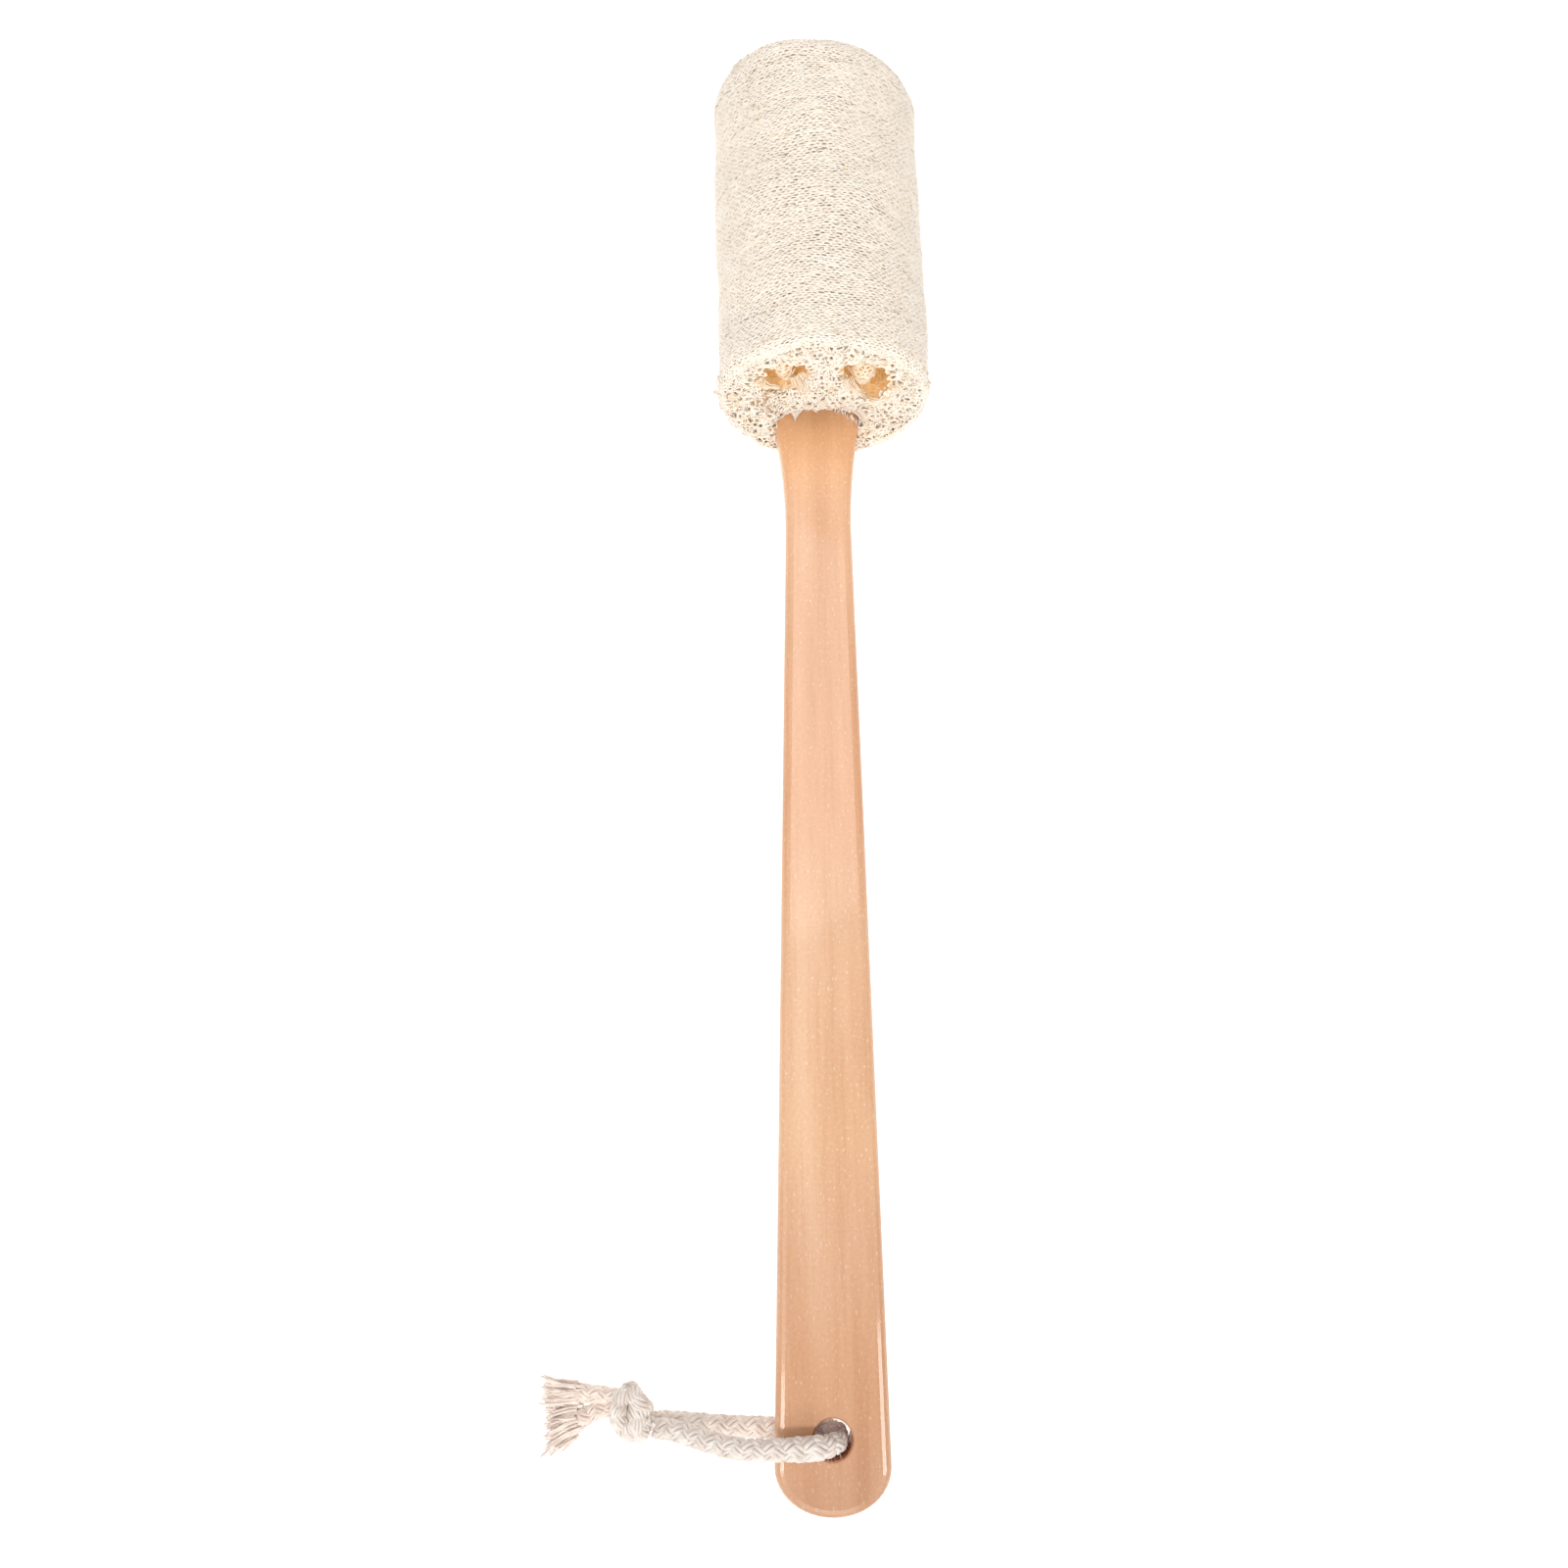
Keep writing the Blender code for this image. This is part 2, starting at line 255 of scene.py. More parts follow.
def node(tree, kind, links=(), **values):
    """A shader node with its values set and its inputs linked: links are (input, from-socket)."""
    made = tree.nodes.new(kind)
    set_values(made, **values)
    for key, socket in links:
        tree.links.new(socket, made.inputs[key])
    return made


def ramp(tree, factor, stops):
    """A colour ramp: stops are (place, colour)."""
    made = tree.nodes.new("ShaderNodeValToRGB")
    tree.links.new(factor, made.inputs["Fac"])
    elements = made.color_ramp.elements
    while len(elements) < len(stops):
        elements.new(0.5)
    for element, (place, colour) in zip(elements, stops):
        element.position = place
        element.color = (*colour, 1.0)
    return made.outputs["Color"]


def mixed(tree, factor, one, two, blend="MIX"):
    made = tree.nodes.new("ShaderNodeMix")
    made.data_type = "RGBA"
    made.blend_type = blend
    for key, value in ((0, factor), (6, one), (7, two)):
        if isinstance(value, bpy.types.NodeSocket):
            tree.links.new(value, made.inputs[key])
        elif key:
            made.inputs[key].default_value = (*value, 1.0)
        else:
            made.inputs[key].default_value = value
    return made.outputs[2]


def noise(tree, place, scale, detail=2.0, roughness=0.5, stretch=None):
    if stretch:
        place = node(tree, "ShaderNodeMapping", [("Vector", place)], Scale=stretch).outputs[0]
    links = [("Vector", place)]
    made = node(tree, "ShaderNodeTexNoise", links, Scale=scale, Detail=detail, Roughness=roughness)
    return made.outputs["Fac"]


def object_place(tree):
    return node(tree, "ShaderNodeTexCoord").outputs["Object"]


def share_between(tree, value, low, high, first=0.0, last=1.0):
    """How far a value lies from low to high, as a number from first to last."""
    made = node(tree, "ShaderNodeMapRange", [("Value", value)])
    set_values(made, From_Min=low, From_Max=high, To_Min=first, To_Max=last)
    return made.outputs["Result"]


def bump(tree, shader, height, strength, distance):
    made = node(tree, "ShaderNodeBump", [("Height", height)], Strength=strength, Distance=distance)
    tree.links.new(made.outputs["Normal"], shader.inputs["Normal"])


def finished(made, colour, height, strength, distance):
    """Links a material's colour and bump, and returns it."""
    tree = made.node_tree
    shader = tree.nodes["Principled BSDF"]
    tree.links.new(colour, shader.inputs["Base Color"])
    bump(tree, shader, height, strength, distance)
    return made


def cotton_material(name, warmth):
    """Natural cotton; warmth above 1 makes it yellower."""
    made, tree, shader = new_material(name, 0.88)
    place = object_place(tree)
    tone = noise(tree, place, 300.0, 3.0)
    stops = ((0.3, (0.70, 0.60, 0.53)), (0.5, (0.82, 0.73, 0.66)), (0.7, (0.90, 0.84, 0.78)))
    colour = ramp(tree, tone, [(at, (min(r * warmth, 1), g * warmth**0.4, b)) for at, (r, g, b) in stops])
    set_values(shader, Sheen_Weight=0.25, Sheen_Roughness=0.5)
    return finished(made, colour, noise(tree, place, 2500.0, 2.0), 0.5, 0.0002)


COTTON = cotton_material("cotton", 1.0)


# ---- the cord

CORD_DIAMETER = 0.0055
CORD_RADIUS = CORD_DIAMETER / 2
BACK_RADIUS = CORD_RADIUS * 1.12
# Points of the two legs are (x, y) from the hole's axis, then height above the table.
FRONT_LEG = (
    (0.0016, -0.0011, 0.0117), (0.0016, -0.0011, 0.0130), (0.0011, -0.0011, 0.0148),
    (-0.0002, -0.0010, 0.0170), (-0.0026, -0.0009, 0.0189), (-0.0055, -0.0009, 0.0199),
    (-0.0090, -0.0010, 0.0201), (-0.0130, -0.0011, 0.0201), (-0.0185, -0.0012, 0.02005),
    (-0.0240, -0.0012, 0.0190), (-0.0300, -0.0009, 0.0165), (-0.0360, -0.0002, 0.0133),
    (-0.0410, 0.0004, 0.0107), (-0.0450, 0.0006, 0.0093), (-0.0472, 0.0006, 0.0092),
)
BACK_LEG = (
    (0.0016, -0.0011, 0.0113), (0.0016, -0.0011, 0.0100), (0.0011, -0.0011, 0.0082),
    (-0.0002, -0.0012, 0.0060), (-0.0026, -0.0014, 0.0041), (-0.0055, -0.0016, 0.0031),
    (-0.0090, -0.0016, 0.00295), (-0.0150, -0.0016, 0.00295), (-0.0220, -0.0013, 0.00295),
    (-0.0300, -0.0009, 0.00295), (-0.0370, -0.0003, 0.0030), (-0.0430, 0.0002, 0.0031),
    (-0.0472, 0.0003, 0.0031),
)


def from_hole(points):
    return np.asarray(points, float) + (HOLE.x, HOLE.y, 0.0)


CARRIERS, YARNS, BRAID_PITCH, BRAID_STEP = 4, 3, 0.0205, 0.0004
STRAND_THICK, YARN_WIDE = 0.30, 0.185  # shares of the braid's radius
WEAVE, CROWN = 0.62, 0.16  # how far a strand rises over another, and how far its side yarns sink


def braid(line, radius, start=(0, 0, 1)):
    """The strands of a round braid along a line, as tubes; radius is a number or a function of the run.

    CARRIERS strands wind each way round the line. Each passes over one that winds the other way, then
    under the next, and each is a flat bundle of parallel yarns.
    """
    count = max(12, int(length_of(line) / BRAID_STEP))
    line = even(np.asarray(line, float), count)
    one, two = carried_frames(line, start)
    run = np.linspace(0, length_of(line), count)
    radius = np.broadcast_to(radius(run) if callable(radius) else radius, (count,))
    strand_thick = radius * STRAND_THICK
    middle_radius = radius - strand_thick * 1.25
    weave = strand_thick * WEAVE
    yarn_wide = radius * YARN_WIDE
    ahead = unit(np.gradient(line, axis=0))
    lines, outwards = [], []
    for way in (1, -1):
        for carrier in range(CARRIERS):
            turn = way * TAU * run / BRAID_PITCH + TAU * carrier / CARRIERS
            # It meets the strands that wind the other way 2 * CARRIERS times in each turn.
            lift = weave * way * np.cos(TAU * run / BRAID_PITCH * CARRIERS)
            for yarn in range(YARNS):
                aside = (yarn - (YARNS - 1) / 2) * yarn_wide * 1.75
                shift = aside / middle_radius * 0.86
                angle = turn + shift
                back = -way * aside * 0.5
                reach = middle_radius + lift - abs(yarn - (YARNS - 1) / 2) * strand_thick * CROWN
                out = one * np.cos(angle)[:, None] + two * np.sin(angle)[:, None]
                lines.append(line + out * reach[:, None] + ahead * back[:, None])
                outwards.append(out)
    lines, outwards = np.array(lines), np.array(outwards)
    return tube_mesh(lines, outwards, yarn_wide, yarn_wide * 0.95, sides=6)


def fuzz(rng, line, radius, count):
    """Fine loose hairs that stand off a cord."""
    rings = 5
    t = np.linspace(0, 1, rings)[None, :, None]
    index = rng.integers(1, len(line) - 1, count)
    ahead = unit(np.gradient(line, axis=0))[index]
    away = rng.normal(0, 1, (count, 3))
    away = unit(away - (away * ahead).sum(-1, keepdims=True) * ahead)
    root = line[index] + away * (radius * 0.86)
    lean = unit(away * 0.7 + ahead * rng.normal(0, 1.0, (count, 1)) + rng.normal(0, 0.4, (count, 3)))
    hair = root[:, None] + lean[:, None] * (rng.uniform(0.0006, 0.0022, (count, 1, 1)) * t)
    hair = hair + rng.normal(0, 0.00025, (count, 1, 3)) * t**2
    hair[..., 2] = np.maximum(hair[..., 2], FLOOR_GAP)
    return tube_mesh(hair, (0.1, 0.2, 1.0), 0.000035, 0.000035, sides=3)


def cord_piece(name, cad_node, parts, material):
    piece = add_tubes(name, parts, material, "hanging_loop")
    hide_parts(cad_node)
    return piece


def make_cord_leg(name, cad_node, route, radius):
    line = smooth_line(from_hole(route), 40)
    parts = [braid(line, radius), fuzz(cord_rng, even(line, 200), CORD_RADIUS, 300)]
    return cord_piece(name, cad_node, parts, COTTON), line


SWELL, SWELL_PLACE, SWELL_REACH = 0.16, 0.0125, 0.006


def swollen(run):
    """The front leg's radius: it spreads where it bends out of the hole."""
    return CORD_RADIUS * (1.06 + SWELL * np.exp(-(((run - SWELL_PLACE) / SWELL_REACH) ** 2)))


cord_rng = np.random.default_rng(SEED + 8)
front_leg, front_line = make_cord_leg("braided_front_leg", "cord_front_leg", FRONT_LEG, swollen)
back_leg, back_line = make_cord_leg("braided_back_leg", "cord_back_leg", BACK_LEG, BACK_RADIUS)


# ---- the knot and the frayed tails

KNOT_MIDDLE = (KNOT_LOW + KNOT_HIGH) / 2
STRAND_RADIUS = 0.00262
# The bands of the knot, from its middle: a ring round the left, one over the top right, one below it
# on the right, one low on the left, and the cord that runs through them all.
LEFT_BAND = (
    (-0.0014, 0.0052, 0.0010), (-0.0030, 0.0038, 0.0026), (-0.0035, 0.0009, 0.0032),
    (-0.0031, -0.0018, 0.0028), (-0.0021, -0.0038, 0.0012), (-0.0006, -0.0044, -0.0014),
    (0.0004, -0.0024, -0.0029), (0.0002, 0.0016, -0.0030), (-0.0004, 0.0044, -0.0016),
    (-0.0011, 0.0051, 0.0006),
)
TOP_BAND = (
    (-0.0010, 0.0034, -0.0022), (-0.0008, 0.0049, -0.0002), (0.0002, 0.0046, 0.0018),
    (0.0016, 0.0034, 0.0029), (0.0029, 0.0020, 0.0022), (0.0034, 0.0006, 0.0004),
    (0.0030, -0.0010, -0.0016), (0.0018, -0.0020, -0.0028),
)
RIGHT_BAND = (
    (0.0006, 0.0024, 0.0012), (0.0010, 0.0010, 0.0026), (0.0015, -0.0010, 0.0033),
    (0.0022, -0.0032, 0.0027), (0.0026, -0.0052, 0.0006), (0.0018, -0.0048, -0.0018),
    (0.0008, -0.0026, -0.0030),
)
LOW_BAND = (
    (-0.0030, -0.0020, -0.0004), (-0.0022, -0.0038, 0.0008), (-0.0007, -0.0048, 0.0010),
    (0.0009, -0.0050, 0.0002), (0.0020, -0.0042, -0.0014),
)
THROUGH_BAND = (
    (0.0056, -0.0026, 0.0016), (0.0034, -0.0016, 0.0004), (0.0, 0.0004, -0.0004), (-0.0038, 0.0010, 0.0),
)
KNOT_BANDS = (LEFT_BAND, TOP_BAND, RIGHT_BAND, LOW_BAND, THROUGH_BAND)


def make_knot():
    parts = []
    for band in KNOT_BANDS:
        line = smooth_line(np.array(band) + KNOT_MIDDLE, 60)
        parts += [braid(line, STRAND_RADIUS, (1, 0, 0.3)), fuzz(cord_rng, line, STRAND_RADIUS, 60)]
    return cord_piece("braided_knot", "cord_knot", parts, COTTON)


# Middle lines of the tails, as (x, y) from the hole's axis and height above the table.
UPPER_TAIL = (
    (-0.0565, 0.0072, 0.0064), (-0.0615, 0.0079, 0.0057),
    (-0.0690, 0.0083, 0.0047), (-0.0785, 0.0078, 0.0040),
)
LOWER_TAIL = (
    (-0.0565, 0.0042, 0.0064), (-0.0612, 0.0046, 0.0057),
    (-0.0668, 0.0023, 0.0047), (-0.0780, -0.0010, 0.0036),
)


def make_tail(name, cad_node, route, braided, spread, rng, tufts, hairs=190):
    """A cut end of the cord: a stub that is still braided, then loose yarns that fan out and fray.

    braided is the stub's share of the length, and spread is how far the yarns fan out.
    """
    steps = 60
    line = smooth_line(from_hole(route), steps)
    parts = [braid(line[: int(steps * braided)], STRAND_RADIUS)]
    rings = 16

    def bundle(count, group, first, last, over, curl, thick, taper, sides):
        """count yarns, whose every group keep together.

        first and last are the ranges of where along the tail they start and end. They stray sideways
        by over, in waves of curl, and taper is the share of their radius thick that they lose.
        """
        lot = np.arange(count) // group

        def shared(values, own):
            return values[lot][:, None] + own[:, None]

        lots = lot[-1] + 1
        start = shared(rng.uniform(*first, lots), rng.uniform(0, 0.04, count))
        end = np.minimum(shared(rng.uniform(*last, lots), rng.uniform(-0.05, 0.05, count)), 1.0)
        t = np.linspace(0, 1, rings)[None]
        at = start + (end - start) * t
        lines = np.stack([np.interp(at, np.linspace(0, 1, steps), line[:, k]) for k in range(3)], axis=-1)
        turn = rng.uniform(0, TAU, lots)
        reach = np.sqrt(rng.random(lots)) * STRAND_RADIUS * 0.80
        near = 0.00028 * min(group - 1, 3)
        side = shared(np.cos(turn) * reach, rng.uniform(-near, near, count))
        rise = shared(np.sin(turn) * reach, rng.uniform(-near, near, count) * 0.6)
        fan = 1 + spread * np.clip(at - 0.25, 0, None) ** 1.2
        aim = shared(rng.normal(0, over, lots), rng.normal(0, over * 0.2, count))
        wave = shared(rng.uniform(5.0, 11.0, lots), np.zeros(count))
        phase = shared(rng.uniform(0, TAU, lots), rng.normal(0, 0.25, count))
        wiggle = curl * np.clip(t, 0.15, 1)
        lines[..., 1] += side * fan + aim * np.clip(at - start, 0, None) ** 2
        lines[..., 1] += wiggle * np.sin(wave * at + phase)
        lines[..., 2] += rise * (1.1 - 0.2 * at) + wiggle * 0.6 * np.cos(wave * at * 1.1 + phase)
        lines[..., 0] += rng.normal(0, 0.0004, (count, 1)) * t
        half = thick * rng.uniform(0.85, 1.15, (count, 1)) * (1 - taper * t**2)
        lines[..., 2] = np.maximum(lines[..., 2], FLOOR_GAP + half)
        return tube_mesh(lines, (0.02, 0.03, 1.0), half, half * 0.9, sides=sides)

    starts = (braided - 0.08, braided)
    parts.append(bundle(tufts * 4, 4, starts, (0.78, 0.98), 0.0030, 0.00070, 0.00033, 0.35, 6))
    parts.append(bundle(hairs, 1, (0.35, 0.70), (0.86, 1.0), 0.0100, 0.00060, 0.00009, 0.50, 4))
    return cord_piece(name, cad_node, parts, COTTON_FRAY)


COTTON_FRAY = cotton_material("frayed_cotton", 1.08)
knot_piece = make_knot()
tail_rng = np.random.default_rng(SEED + 6)
upper_tail = make_tail("frayed_upper_tail", "cord_tail_right", UPPER_TAIL, 0.54, 0.7, tail_rng, 26)
lower_tail = make_tail("frayed_lower_tail", "cord_tail_left", LOWER_TAIL, 0.56, 3.0, tail_rng, 30)


# ---- the loofah's outer form

AXIS_Z = 0.030
NEAR_X, FAR_X = 0.0012, -0.0001
NEAR_RADIUS, FAR_RADIUS = 0.0316, 0.0309
NEAR_RIM, FAR_RIM = 0.0025, 0.0080
LENGTH = FAR_Y - NEAR_Y
NEAR_TURN = NEAR_RIM * math.pi / 2
FAR_TURN = FAR_RIM * math.pi / 2
SIDE_LENGTH = NEAR_TURN + LENGTH - NEAR_RIM - FAR_RIM + FAR_TURN


def waves(rng, count, low, high, size):
    """Random plane waves, to be summed as a smooth field: numbers of waves per metre from low to high."""
    rate = rng.uniform(low, high, count)
    turn = rng.uniform(0, TAU, count)
    phase = rng.uniform(0, TAU, count)
    return rate * np.cos(turn), rate * np.sin(turn), phase, size / math.sqrt(count)


def field(wave, u, v):
    rate_u, rate_v, phase, size = wave
    total = 0.0
    for a, b, c in zip(rate_u, rate_v, phase):
        total = total + np.sin(TAU * (a * u + b * v) + c)
    return total * size


form_rng = np.random.default_rng(SEED)
LUMPS = waves(form_rng, 7, 12, 45, 0.00042)
form_rng.uniform(size=18)  # passed over, so that the waves below stay the ones that were chosen
FLOW = waves(form_rng, 6, 10, 45, 0.0009)


WAIST_Y = NEAR_Y + 0.016
FAR_LEAN, NEAR_LEAN = 0.0042, 0.0026


def far_lean(across):
    """How much further the far cut runs at a place across the loofah: it leans to the left."""
    return FAR_LEAN * np.clip(-across / 0.026, 0, 1) ** 1.3


def near_lean(up):
    """How much further out the near cut stands at a height above the axis: it leans out at its foot."""
    return NEAR_LEAN * np.clip((-up - 0.006) / 0.022, 0, 1)


def loofah_point(angle, run, lift):
    """A place on the loofah's skin, lift above it, and the way out there.

    angle goes round the axis from +X over the top, and run goes along the skin from where it leaves
    the near cut face to where it meets the far one. A negative run lies on the near face, and one
    past SIDE_LENGTH on the far face.
    """
    angle, run, lift = np.broadcast_arrays(angle, run, lift)
    near = np.clip(run / NEAR_TURN, 0, 1) * math.pi / 2
    far = np.clip((run - (SIDE_LENGTH - FAR_TURN)) / FAR_TURN, 0, 1) * math.pi / 2
    inward = np.clip(-run, 0, None) + np.clip(run - SIDE_LENGTH, 0, None)
    along = np.clip(run - NEAR_TURN, 0, LENGTH - NEAR_RIM - FAR_RIM)
    y = NEAR_Y + NEAR_RIM * (1 - np.cos(near)) + along + FAR_RIM * np.sin(far)
    drop = NEAR_RIM * (1 - np.sin(near)) + FAR_RIM * (1 - np.cos(far)) + inward
    share = (y - NEAR_Y) / LENGTH
    radius = NEAR_RADIUS + (FAR_RADIUS - NEAR_RADIUS) * share
    out = np.sin(near) * np.cos(far)
    lumps = field(LUMPS, NEAR_RADIUS * np.cos(angle) * 1.3, y * 1.0 + 0.03 * np.sin(angle))
    left = np.clip(-np.cos(angle), 0, 1) ** 2
    waist = left * (0.0004 + 0.0014 * np.exp(-(((y - WAIST_Y) / 0.013) ** 2))) * np.clip(3 - 4 * share, 0, 1)
    radius = radius - drop + (lumps - 0.0004 - waist) * out
    radius = radius + lift * out
    y = y - lift * (np.cos(near) - np.sin(far))
    y = y + far_lean(radius * np.cos(angle)) * np.clip(share * 4 - 3, 0, 1)
    y = y - near_lean(radius * np.sin(angle)) * np.clip(1 - share * 4, 0, 1)
    down = np.clip(-np.sin(angle), 1e-6, None)
    flat = (AXIS_Z - FLOOR_GAP + np.clip(lift, None, 0)) / down  # where the table flattens it
    radius = np.where(np.sin(angle) < -0.2, np.minimum(radius, flat), radius)
    x = NEAR_X + (FAR_X - NEAR_X) * share + radius * np.cos(angle)
    z = AXIS_Z + radius * np.sin(angle)
    outward = np.stack(
        [np.cos(angle) * out, -(np.cos(near) - np.sin(far)), np.sin(angle) * out], axis=-1
    )
    return np.stack([x, y, z], axis=-1), unit(outward)


# ---- nets of fibre


def wedges_of(points):
    """The cells round plane points, cut into wedges.

    Each wedge belongs to one cell and runs between two of the cell's corners, anticlockwise. Returns
    the corners, and each wedge's cell, first corner, second corner and following wedge.
    """
    made = delaunay_2d_cdt([Vector(p) for p in points], [], [], 0, 1e-9)
    spots = np.array([tuple(v) for v in made[0]])
    triangles = np.array([list(face) for face in made[2] if len(face) == 3])
    one, two, three = (spots[triangles[:, k]] for k in range(3))
    turn = np.cross(np.c_[two - one, np.zeros(len(one))], np.c_[three - one, np.zeros(len(one))])[:, 2]
    triangles[turn < 0] = triangles[turn < 0][:, ::-1]
    corners = spots[triangles].mean(axis=1)
    total, number = len(triangles), len(spots)
    index = np.arange(total)
    cell = triangles.T.ravel()
    follows = np.roll(triangles, -1, axis=1).T.ravel()
    comes_before = np.roll(triangles, 1, axis=1).T.ravel()
    first = np.tile(index, 3)
    edge_key = cell.astype(np.int64) * number + follows
    order = np.argsort(edge_key)
    wanted = cell.astype(np.int64) * number + comes_before
    at = np.searchsorted(edge_key[order], wanted)
    at = np.clip(at, 0, len(order) - 1)
    found = edge_key[order][at] == wanted
    second = np.where(found, first[order][at], -1)
    broken = np.zeros(number, bool)
    broken[cell[~found]] = True
    good = ~broken[cell]
    cell, first, second = cell[good], first[good], second[good]
    key = cell.astype(np.int64) * total + first
    order = np.argsort(key)
    following = order[np.searchsorted(key[order], cell.astype(np.int64) * total + second)]
    return spots, corners, cell, first, second, following


def staggered(rng, low, high, jitter):
    """Jittered points a unit apart, in staggered rows, that fill a plane rectangle."""
    row = 0.866
    rows = np.arange(math.floor(low[1] / row), math.ceil(high[1] / row) + 1)
    columns = np.arange(math.floor(low[0]) - 1, math.ceil(high[0]) + 2)
    x, y = np.meshgrid(columns.astype(float), rows * row)
    x = x + (rows[:, None] % 2) * 0.5
    points = np.stack([x.ravel(), y.ravel()], axis=-1)
    return points + rng.normal(0, jitter, points.shape)


def net_sheet(
    rng, points, place, keep, hole, closed, thick, wobble=0.10, spread=0.12, flip=False, narrow=1.0
):
    """A sheet of rounded strands round the cells of plane points, with a hole in each open cell.

    place takes plane points and a height to a point in space. keep says which cells are made, hole
    gives each cell's hole as a share of it, which varies by spread, closed is the share of cells with
    only a dimple, and narrow is how much narrower the holes are along the plane's second axis. The
    fourth column of the points is their pit: 0 on the strands, and up to 1 down in the cells, by a
    random amount for each cell. It sets how much painted shade the material puts down in the cells.
    """
    spots, corners, cell, first, second, following = wedges_of(points)
    kept_cell = keep(spots)
    shut = rng.random(len(spots)) < closed
    share = np.clip(hole(spots) + rng.normal(0, spread, len(spots)), 0.12, 0.86)
    corner_lift = rng.normal(0, thick * 0.22, len(corners))
    kept = kept_cell[cell]
    renumber = np.cumsum(kept) - 1
    cell, first, second, following = cell[kept], first[kept], second[kept], renumber[following[kept]]
    low, high = np.minimum(first, second), np.maximum(first, second)
    edge_key = low.astype(np.int64) * len(corners) + high
    edges, edge = np.unique(edge_key, return_inverse=True)
    one, two = corners[edges // len(corners)], corners[edges % len(corners)]
    across = np.stack([-(two - one)[:, 1], (two - one)[:, 0]], axis=-1)
    halfway = (one + two) / 2 + across * rng.normal(0, wobble, (len(edges), 1))
    halfway_lift = rng.normal(-thick * 0.1, thick * 0.2, len(edges))
    centre = spots[cell]

    def shrunk(outline, by):
        return centre + (outline - centre) * by[:, None] * (1.0, narrow)

    # how dark each cell's painted shade is, at random
    cell_shade = 0.35 + 0.65 * rng.random(len(spots)) ** 1.4
    pit = [np.zeros(len(corners)), np.zeros(len(halfway))]

    size = share[cell]
    flat, lift = [corners, halfway], [corner_lift, halfway_lift]
    rings = []
    start = len(corners) + len(halfway)
    shut_here = shut[cell]
    fall = np.where(shut_here, 0.45, 1.0)
    # The rings down a cell's wall: their size as a share of the hole's, how deep, and their pit, the share
    # of painted shade.
    steps = (
        (1 + 0.18 * (1 / np.maximum(size, 0.2) - 1), -0.16, 0.0), (1.0, -0.55, 0.75), (0.86, -1.0, 1.0)
    )
    for grow, deep, pitted in steps:
        by = np.minimum(size * grow, 0.97)
        flat += [shrunk(corners[first], by), shrunk(halfway[edge], by * 0.98)]
        drop = np.full(len(cell), deep * thick) * fall
        lift += [drop + corner_lift[first] * 0.5, drop + halfway_lift[edge] * 0.5]
        pit += [pitted * cell_shade[cell]] * 2
        rings.append((start, start + len(cell)))
        start += 2 * len(cell)
    used = np.unique(cell[shut_here])
    flat.append(spots[used])
    lift.append(np.full(len(used), -0.62 * thick))
    pit.append(cell_shade[used])
    mesh_points = np.column_stack([place(np.concatenate(flat), np.concatenate(lift)), np.concatenate(pit)])
    wedge = np.arange(len(cell))
    outer_a, outer_m, outer_b = first, len(corners) + edge, second
    quads = []
    for corner_start, middle_start in rings:
        inner_a, inner_m = corner_start + wedge, middle_start + wedge
        inner_b = corner_start + following
        quads.append(np.stack([outer_a, outer_m, inner_m, inner_a], axis=-1))
        quads.append(np.stack([outer_m, outer_b, inner_b, inner_m], axis=-1))
        outer_a, outer_m, outer_b = inner_a, inner_m, inner_b
    faces = halves(np.concatenate(quads))
    hub = start + np.searchsorted(used, cell[shut_here])
    fans = np.concatenate(
        [
            np.stack([outer_a[shut_here], outer_m[shut_here], hub], axis=-1),
            np.stack([outer_m[shut_here], outer_b[shut_here], hub], axis=-1),
        ]
    )
    faces = np.concatenate([faces, fans])
    if flip:
        faces = faces[:, ::-1]
    wanted, faces = np.unique(faces, return_inverse=True)
    return mesh_points[wanted], faces.reshape(-1, 3)


# ---- the loofah's skin

CELL_ROUND = 0.00185
CELL_ALONG = 0.00086
SKIN_THICK = 0.00056


def skin_flow(angle, run):
    """How far the skin's rows of cells stray along the loofah."""
    return field(FLOW, np.cos(angle) * 0.03, run + np.sin(angle) * 0.03)


def make_skin(material):
    """The skin in strips side by side, each a net of cells drawn out round the loofah."""
    rng = np.random.default_rng(SEED + 1)
    around = TAU * NEAR_RADIUS / CELL_ROUND
    low_run, high_run = -0.0008, SIDE_LENGTH + 0.0006
    low, high = low_run / CELL_ALONG, high_run / CELL_ALONG
    points = staggered(rng, (0, low - 2), (around, high + 2), 0.17)
    points = points[(points[:, 0] >= 0) & (points[:, 0] < around)]
    left, right = points[points[:, 0] > around - 4], points[points[:, 0] < 4]
    points = np.concatenate([points, left - (around, 0), right + (around, 0)])

    def place(flat, lift):
        angle = flat[..., 0] / around * TAU - math.pi / 2
        run = flat[..., 1] * CELL_ALONG
        return loofah_point(angle, run + skin_flow(angle, run), lift)[0]

    def hole(spots):
        near = np.clip(1 - spots[:, 1] * CELL_ALONG / 0.018, 0, 1)
        return 0.67 - 0.16 * near

    parts, strips = [], 7
    bounds = np.linspace(low, high, strips + 1)
    for strip in range(strips):

        def keep(spots, a=bounds[strip], b=bounds[strip + 1]):
            round_once = (spots[:, 0] >= 0) & (spots[:, 0] < around)
            return round_once & (spots[:, 1] >= a) & (spots[:, 1] < b)

        sheet = net_sheet(
            rng, points, place, keep, hole, 0.40, SKIN_THICK, spread=0.10, flip=True, narrow=0.60
        )
        parts.append(add_mesh(f"loofah_skin_{strip + 1}", *sheet, material, "scrubber"))
    return parts


